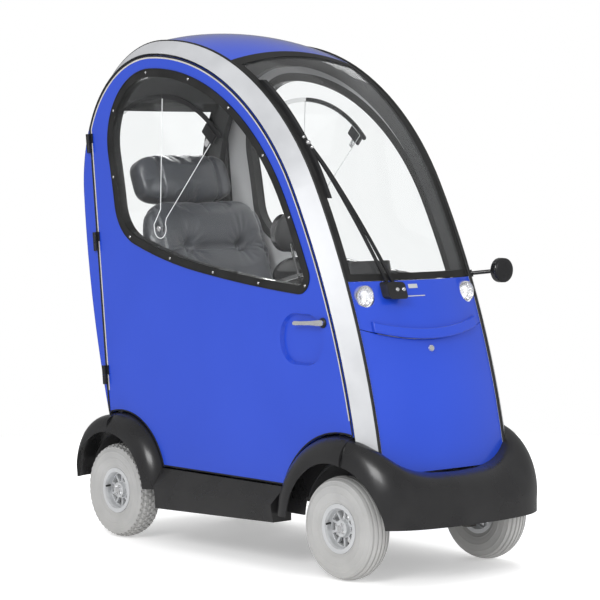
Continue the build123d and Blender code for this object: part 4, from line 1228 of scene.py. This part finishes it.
BLOCK_COUNT = 44
PITCH = 2 * math.pi / BLOCK_COUNT
BLOCK_ROWS = (
    (-0.0315, 0.0095, 0.0125, 0.0), (-0.0180, 0.0120, 0.0130, 0.5 * PITCH),
    (-0.0060, 0.0085, 0.0120, 0.0), (0.0060, 0.0085, 0.0120, 0.5 * PITCH),
    (0.0180, 0.0120, 0.0130, 0.0), (0.0315, 0.0095, 0.0125, 0.5 * PITCH),
)
NUT_OUT, NUT_CIRCLE, NUT_COUNT, NUT_START = 0.0265, 0.0165, 4, 0.6
HUB_CAP = (
    (0.0225, 0.0115), (0.0225, 0.0002), (0.0325, 0.0002), (0.0322, 0.006), (0.0300, 0.0100), (0.0262, 0.0115),
)
for corner, turn_x, y in WHEELS:
    body = f"{corner}_wheel"
    hub_centre = (turn_x * WHEEL_X, y, TYRE_R)
    if corner.startswith("rear"):
        ring = {"Count": BLOCK_COUNT, "Centre": hub_centre}
        blocks = grown(f"tread_blocks_{corner}", block_seed(BLOCK_ROWS), ring_tree, ring, body, "tyre_grey")
    nut = bmesh.new()
    bmesh.ops.create_cone(nut, cap_ends=True, segments=6, radius1=0.0045, radius2=0.0040, depth=0.008)
    outwards = Matrix.Rotation(math.pi / 2, 4, "Y")
    outwards = Matrix.Translation((turn_x * NUT_OUT, 0, NUT_CIRCLE)) @ outwards
    bmesh.ops.transform(nut, matrix=outwards, verts=nut.verts)
    ring = {"Count": NUT_COUNT, "Centre": hub_centre, "Start Angle": NUT_START}
    grown(f"wheel_nuts_{corner}", nut, ring_tree, ring, body, "bright_chrome", 30)
    cap = bmesh.new()
    spun(cap, HUB_CAP, hub_centre, turn_x, 48)
    piece(f"hub_cap_{corner}", cap, body, "bright_chrome", 30)
    valve = bmesh.new()
    stem = Vector(hub_centre) + Vector((turn_x * 0.020, 0.050, 0.010))
    rod(valve, stem, stem + Vector((turn_x * 0.020, -0.006, 0)), 0.0032, 16)
    piece(f"tyre_valve_{corner}", valve, body, "seal_rubber")
print("tread block faces:", len(blocks.data.polygons))

# %% [markdown]
# ## Headlamps and tail lamps
# A headlamp is a chrome bowl with flutes behind a clear domed lens. Bowl and lens are turned profiles
# that stand in the place of the solid cans, and the flutes are a ring of copies. The red tail lamps
# keep their solids and get bright bezels, and black cups on the side that faces the cabin.

# %% Lamps
def turned_y(bm, profile, centre, segments=64):
    """Spin a closed profile of (towards -Y, radius) round a line along Y."""
    spin(bm, profile, segments, lambda out, u, v: (centre[0] + u, centre[1] - out, centre[2] + v))
    bmesh.ops.remove_doubles(bm, verts=bm.verts, dist=1e-6)
    bmesh.ops.recalc_face_normals(bm, faces=bm.faces)


AXIS_R = 0.0
BOWL = (
    (-0.012, AXIS_R), (-0.0115, 0.012), (-0.008, 0.020), (-0.002, 0.0265), (0.0045, 0.0290), (0.0070, 0.0302),
    (0.0080, 0.0315), (0.0075, 0.0328), (0.0045, 0.0330), (-0.0140, 0.0318), (-0.0140, AXIS_R),
)
LENS = (
    (0.0050, AXIS_R), (0.0050, 0.0284), (0.0062, 0.0288), (0.0090, 0.0270), (0.0125, 0.0215),
    (0.0148, 0.0130), (0.0155, AXIS_R),
)
BULB_RADIUS, BULB_FORWARD = 0.0062, 0.001
FLUTE_SIZE, FLUTE_PLACE, FLUTE_COUNT = (0.0016, 0.010, 0.0090), Vector((0, -0.0005, 0.0225)), 18
HEADLAMP_RADIUS, HEADLAMP_SEAT = 0.0328, 0.0145
TAIL_RADIUS, TAIL_PROUD = 0.030, 0.0165
TAIL_BEZEL = ((0.0, 0.0302), (0.0, 0.0345), (-0.0055, 0.0345), (-0.0085, 0.0328), (-0.0088, 0.0302))
TAIL_CUP = (
    (0.0040, 0.0004), (0.0040, 0.0312), (0.0030, 0.0322), (-0.0100, 0.0322), (-0.0100, 0.0304),
    (0.0006, 0.0304), (0.0006, 0.0004),
)
low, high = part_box("headlamps")
LAMP_X = (high[0] - low[0]) / 2 - HEADLAMP_RADIUS
LAMP_Y, LAMP_Z = high[1] - HEADLAMP_SEAT, (low[2] + high[2]) / 2
for side, turn_x in SIDES:
    centre = Vector((turn_x * LAMP_X, LAMP_Y, LAMP_Z))
    bm = bmesh.new()
    turned_y(bm, BOWL, centre)
    bowl = piece(f"headlamp_bowl_{side}", bm, "chassis", "bright_chrome", 50)
    bm = bmesh.new()
    turned_y(bm, LENS, centre)
    piece(f"headlamp_lens_{side}", bm, "chassis", "lamp_clear", 50)
    if side == "right":
        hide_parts("headlamps")
    bulb = bmesh.new()
    bmesh.ops.create_uvsphere(bulb, u_segments=20, v_segments=12, radius=BULB_RADIUS)
    bulb_place = Matrix.Translation(centre - Vector((0, BULB_FORWARD, 0)))
    bmesh.ops.transform(bulb, matrix=bulb_place, verts=bulb.verts)
    piece(f"headlamp_bulb_{side}", bulb, "chassis", "lamp_clear", finish_name="sawn_acrylic")
    flute = bmesh.new()
    rounded_block(flute, FLUTE_PLACE, FLUTE_SIZE, 0.0006)
    ring = {"Count": FLUTE_COUNT, "Centre": centre, "Axis": (0, 1, 0)}
    grown(f"headlamp_flutes_{side}", flute, ring_tree, ring, "chassis", "bright_chrome", 30)

low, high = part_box("tail_lamps")
TAIL_X, TAIL_Z = (high[0] - low[0]) / 2 - TAIL_RADIUS, (low[2] + high[2]) / 2
bm = bmesh.new()
for side, turn_x in SIDES:
    turned_y(bm, TAIL_BEZEL, (turn_x * TAIL_X, high[1] - TAIL_PROUD, TAIL_Z))
piece("tail_lamp_bezels", bm, "chassis", "bright_chrome")
for side, turn_x in SIDES:
    bm = bmesh.new()
    turned_y(bm, TAIL_CUP, (turn_x * TAIL_X, low[1], TAIL_Z))
    piece(f"tail_lamp_cup_{side}", bm, "chassis", "trim_black")
print("lamps at x", round(LAMP_X, 3), round(TAIL_X, 3))

# %% [markdown]
# ## Small things on the nose
# A bare pale plate, a thin slot below it and a round key lock sit on the painted nose. Each is let
# into the crowned surface: a ray finds the skin, and the piece stands on it square to the surface.

# %% Nose details
def skin_point(node, x, z):
    """Where a line along +Y at (x, z) meets a node's outer skin, and the skin's normal."""
    hit, place, normal, _ = nodes[node].ray_cast(Vector((x, -2, z)), Vector((0, 1, 0)))
    if not hit:
        raise ValueError(f"no skin of {node} at {x}, {z}")
    return place, normal


def stand_on(node, x, z):
    """A frame on a node's skin: its Z axis is the outward normal, its X axis lies level."""
    place, normal = skin_point(node, x, z)
    level = Vector((0, 0, 1)).cross(normal).normalized()
    rise = normal.cross(level)
    return Matrix.Translation(place) @ Matrix((level, rise, normal)).transposed().to_4x4()


def turned_z(bm, profile, place, segments=40):
    """Spin a closed profile of (height, radius) and put it on a frame."""
    spin(bm, profile, segments, lambda height, u, v: place @ Vector((u, v, height)))
    bmesh.ops.remove_doubles(bm, verts=bm.verts, dist=1e-6)
    bmesh.ops.recalc_face_normals(bm, faces=bm.faces)


# Columns: piece, size, bevel, place on the cowl as x and z.
NOSE_PLATES = (
    ("nose_plate", (0.034, 0.013, 0.0024), 0.0009, (-0.032, 0.834)),
    ("nose_slot", (0.072, 0.0030, 0.0016), 0.0006, (-0.030, 0.806)),
)
for name, size, bevel, spot in NOSE_PLATES:
    bm = bmesh.new()
    rounded_block(bm, Vector((0, 0, 0)), size, bevel, stand_on("cowl", *spot))
    piece(name, bm, "chassis", "silver_band", 30)
LOCK_SPOT = (-0.012, 0.655)
LOCK = (
    (0.0, 0.0), (0.0035, 0.0), (0.0038, 0.0040), (0.0052, 0.0060), (0.0050, 0.0085), (0.0020, 0.0100),
    (0.0, 0.0100),
)
bm = bmesh.new()
turned_z(bm, LOCK, stand_on("front_panel", *LOCK_SPOT))
piece("nose_lock", bm, "chassis", "bright_chrome", 35)
print("nose details stand on the skin")

# %% [markdown]
# ## Mirrors
# A mirror is a dark shell with a silvered glass set into its back. The shells are solids already;
# each gets a thin disc of glass in a bevelled rim, and a domed cover that leads into its stalk.

# %% Mirror glasses
finishes["mirror_glass"] = finish(
    "mirror_glass", (0.86, 0.87, 0.88), (0.92, 0.93, 0.94), (0.02, 0.05), 300, 6, (0.01, 0.0003), Metallic=1.0
)
DOME_STEPS = 10


def mirror_disc(name, centre, radius, body):
    """Silvered glass and its rim on the rear face of a round mirror."""
    bm = bmesh.new()
    glass = ((-0.0004, 0.0), (-0.0004, radius - 0.005), (-0.0016, radius - 0.006), (-0.0018, 0.0))
    turned_y(bm, glass, centre)
    piece(f"{name}_glass", bm, body, "bright_chrome", finish_name="mirror_glass")
    bm = bmesh.new()
    rim = (
        (0.0, radius - 0.0045), (0.0, radius - 0.0002), (-0.0022, radius - 0.0006),
        (-0.0030, radius - 0.003), (-0.0020, radius - 0.0048),
    )
    turned_y(bm, rim, centre)
    piece(f"{name}_rim", bm, body, "mirror_black")


def mirror_dome(name, centre, radius, depth, body):
    """A domed cover on the front face of a round mirror."""
    bm = bmesh.new()
    profile = [(0.0, 0.0)]
    for k in range(DOME_STEPS):
        turn = 0.5 * math.pi * k / DOME_STEPS
        profile.append((depth * math.sin(turn) ** 1.2, radius * math.cos(turn) ** 0.8))
    turned_y(bm, profile + [(depth, 0.0)], centre)
    piece(f"{name}_cover", bm, body, "trim_black", 60)


# Columns: mirror, centre of its shell, half thickness, glass radius, dome radius, dome depth, body.
MIRRORS = (
    ("outer_mirror", Vector((0.334, -0.550, 0.869)), 0.0102, 0.037, 0.0366, 0.011, "chassis"),
    ("tiller_mirror", Vector((-0.185, -0.165, 0.985)), 0.0092, 0.058, 0.0574, 0.012, "tiller"),
)
for name, centre, half, glass_radius, dome_radius, depth, body in MIRRORS:
    mirror_disc(name, centre + Vector((0, half, 0)), glass_radius, body)
    mirror_dome(name, centre - Vector((0, half, 0)), dome_radius, depth, body)
print("mirrors:", [row[0] for row in MIRRORS])

# %% [markdown]
# ## Handlebar
# The bar's ends carry ribbed rubber grips. The ribs repeat along the grip, so a tree copies one ring
# at an even pitch. A moulded hand guard, cut flat below, finishes the right-hand side.

# %% Grips
TILLER_FOOT = Vector((0, -0.420, 0.225))
TILLER_AXIS = Vector((0, 0.180, 0.765)).normalized()
BAR_FRAME = Matrix((Vector((1, 0, 0)), TILLER_AXIS.cross(Vector((1, 0, 0))), TILLER_AXIS)).transposed()
BAR_CENTRE = TILLER_FOOT + TILLER_AXIS * 0.640


def on_bar(x, reach, rise):
    """A point of the handlebar's plane: across, towards the rider, up along the column."""
    return BAR_CENTRE + BAR_FRAME @ Vector((x, reach, rise))


rib_tree, ends_in, ends_out = nodes_tree("ribs_along_grip", (
    ("Pitch", "NodeSocketFloat", 0.006),
    ("Rib Radius", "NodeSocketFloat", 0.0135),
    ("Bead", "NodeSocketFloat", 0.0016),
))
grip_line = rib_tree.nodes.new("GeometryNodeMeshToCurve")
link(rib_tree, ends_in.outputs["Geometry"], grip_line.inputs["Mesh"])
grip_spots = rib_tree.nodes.new("GeometryNodeCurveToPoints")
grip_spots.mode = "LENGTH"
link(rib_tree, grip_line.outputs["Curve"], grip_spots.inputs["Curve"])
link(rib_tree, ends_in.outputs["Pitch"], grip_spots.inputs["Length"])
rib_ring = rib_tree.nodes.new("GeometryNodeCurvePrimitiveCircle")
rib_ring.inputs["Resolution"].default_value = 32
link(rib_tree, ends_in.outputs["Rib Radius"], rib_ring.inputs["Radius"])
rib_bead = rib_tree.nodes.new("GeometryNodeCurvePrimitiveCircle")
rib_bead.inputs["Resolution"].default_value = 8
link(rib_tree, ends_in.outputs["Bead"], rib_bead.inputs["Radius"])
rib_mesh = rib_tree.nodes.new("GeometryNodeCurveToMesh")
link(rib_tree, rib_ring.outputs["Curve"], rib_mesh.inputs["Curve"])
link(rib_tree, rib_bead.outputs["Curve"], rib_mesh.inputs["Profile Curve"])
rib_copies = rib_tree.nodes.new("GeometryNodeInstanceOnPoints")
link(rib_tree, grip_spots.outputs["Points"], rib_copies.inputs["Points"])
link(rib_tree, grip_spots.outputs["Rotation"], rib_copies.inputs["Rotation"])
link(rib_tree, rib_mesh.outputs["Mesh"], rib_copies.inputs["Instance"])
finish_tree(rib_tree, ends_out, rib_copies.outputs["Instances"], "seal_rubber")
GRIP_X, GRIP_FROM, GRIP_TO = 0.195, 0.030, 0.084
GRIP_RADIUS = 0.0132
RIBS = {"Pitch": 0.006, "Rib Radius": GRIP_RADIUS, "Bead": 0.0014}
for side, turn_x in SIDES:
    start, end = (on_bar(turn_x * GRIP_X, reach, 0) for reach in (GRIP_FROM, GRIP_TO))
    bm = bmesh.new()
    rod(bm, start, end, GRIP_RADIUS, 36)
    piece(f"grip_sleeve_{side}", bm, "tiller", "seal_rubber")
    seed = bmesh.new()
    seed.edges.new((seed.verts.new(start), seed.verts.new(end)))
    grown(f"grip_ribs_{side}", seed, rib_tree, RIBS, "tiller", "seal_rubber")
GUARD_CENTRE = Vector((-0.156, -0.152, 0.866))
GUARD_HALVES = (0.030, 0.086, 0.044)
GUARD_TILT = math.radians(-14)
GUARD_FLAT = -0.35
guard = bmesh.new()
bmesh.ops.create_uvsphere(guard, u_segments=40, v_segments=24, radius=1)
for vertex in guard.verts:
    vertex.co.z = max(vertex.co.z, GUARD_FLAT)
tilted = Matrix.Rotation(GUARD_TILT, 4, "X") @ Matrix.Diagonal((*GUARD_HALVES, 1))
bmesh.ops.transform(guard, matrix=Matrix.Translation(GUARD_CENTRE) @ tilted, verts=guard.verts)
bmesh.ops.remove_doubles(guard, verts=guard.verts, dist=1e-6)
bmesh.ops.recalc_face_normals(guard, faces=guard.faces)
piece("hand_guard", guard, "tiller", "mirror_black", 50)
print("grips:", round((end - start).length, 3), "m long")

# %% [markdown]
# ## Door handles
# A chromed lever stands on a round black boss over a shallow dish in the door. It tapers and swells
# again to a rounded end, which a lofted row of rings gives and a plain bar does not, so it stands in
# for the solid handle.

# %% Handle levers
HANDLE_Y, HANDLE_Z, HANDLE_X = -0.456, 0.734, 0.3003
LEVER_STAND, LEVER_DROP, LEVER_SIDES = 0.0095, 0.05, 20
# Columns: along the lever, half height, half thickness.
LEVER_RINGS = (
    (-0.010, 0.004, 0.0030), (-0.004, 0.0085, 0.0042), (0.014, 0.0088, 0.0042), (0.040, 0.0070, 0.0037),
    (0.085, 0.0060, 0.0034), (0.104, 0.0066, 0.0038), (0.115, 0.0072, 0.0039), (0.1215, 0.0048, 0.0028),
)
BOSS = (
    (0.0, 0.0), (0.0, 0.0148), (0.0030, 0.0148), (0.0046, 0.0120), (0.0080, 0.0095), (0.0100, 0.0080),
    (0.0100, 0.0),
)
for side, turn_x in SIDES:
    body = f"{side}_door"
    bm = bmesh.new()
    rings = []
    for reach, tall, thick in LEVER_RINGS:
        ring = []
        for k in range(LEVER_SIDES):
            angle = 2 * math.pi * k / LEVER_SIDES
            x = HANDLE_X + LEVER_STAND + thick * math.cos(angle)
            z = HANDLE_Z + tall * math.sin(angle) - LEVER_DROP * reach
            ring.append(bm.verts.new((turn_x * x, HANDLE_Y + reach, z)))
        rings.append(ring)
    bridge(bm, rings, closed=False)
    bmesh.ops.recalc_face_normals(bm, faces=bm.faces)
    lever = piece(f"handle_lever_{side}", bm, body, "bright_chrome", 60)
    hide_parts(f"door_handle_{side}")
    bm = bmesh.new()
    facing = Matrix.Translation((turn_x * HANDLE_X, HANDLE_Y, HANDLE_Z))
    turned_z(bm, BOSS, facing @ Matrix.Rotation(turn_x * math.pi / 2, 4, "Y"))
    piece(f"handle_boss_{side}", bm, body, "trim_black", 35)
print("lever length:", round(LEVER_RINGS[-1][0] - LEVER_RINGS[0][0], 3), "m")

# %% [markdown]
# ## Wiper fittings
# The wiper is a pair of thin arms on a small gearbox. Turned chrome caps sit on the two pivots, and a
# chrome knuckle of three balls sits where the arms meet the blade. A ray finds the solid under each.

# %% Wiper fittings
low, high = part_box("wiper")
WIPER_PIVOT, WIPER_TOP = Vector((-0.106, 0.832)), Vector((-0.228, 1.255))
CAP_HALF_GAP, CAP_DROP = 0.011, 0.004
PIVOT_CAP = ((-0.004, 0.0), (-0.004, 0.0060), (0.0015, 0.0060), (0.0040, 0.0040), (0.0046, 0.0))
# Each ball of the knuckle is a height and a radius.
KNUCKLE_BALLS = ((1.252, 0.0075), (1.238, 0.0052), (1.268, 0.0050))
bm = bmesh.new()
for shift in (-CAP_HALF_GAP, CAP_HALF_GAP):
    turned_z(bm, PIVOT_CAP, stand_on("wiper", WIPER_PIVOT.x + shift, WIPER_PIVOT.y - CAP_DROP), 28)
piece("wiper_caps", bm, "chassis", "bright_chrome", 35)
bm = bmesh.new()
for rise, radius in KNUCKLE_BALLS:
    share = (rise - WIPER_PIVOT.y) / (WIPER_TOP.y - WIPER_PIVOT.y)
    place, _ = skin_point("wiper", WIPER_PIVOT.lerp(WIPER_TOP, share).x, rise)
    made = bmesh.ops.create_uvsphere(bm, u_segments=20, v_segments=12, radius=radius)
    bmesh.ops.transform(bm, matrix=Matrix.Translation(place), verts=made["verts"])
piece("wiper_knuckle", bm, "chassis", "bright_chrome", 60)
print("wiper box:", [round(v, 3) for v in (*low, *high)])
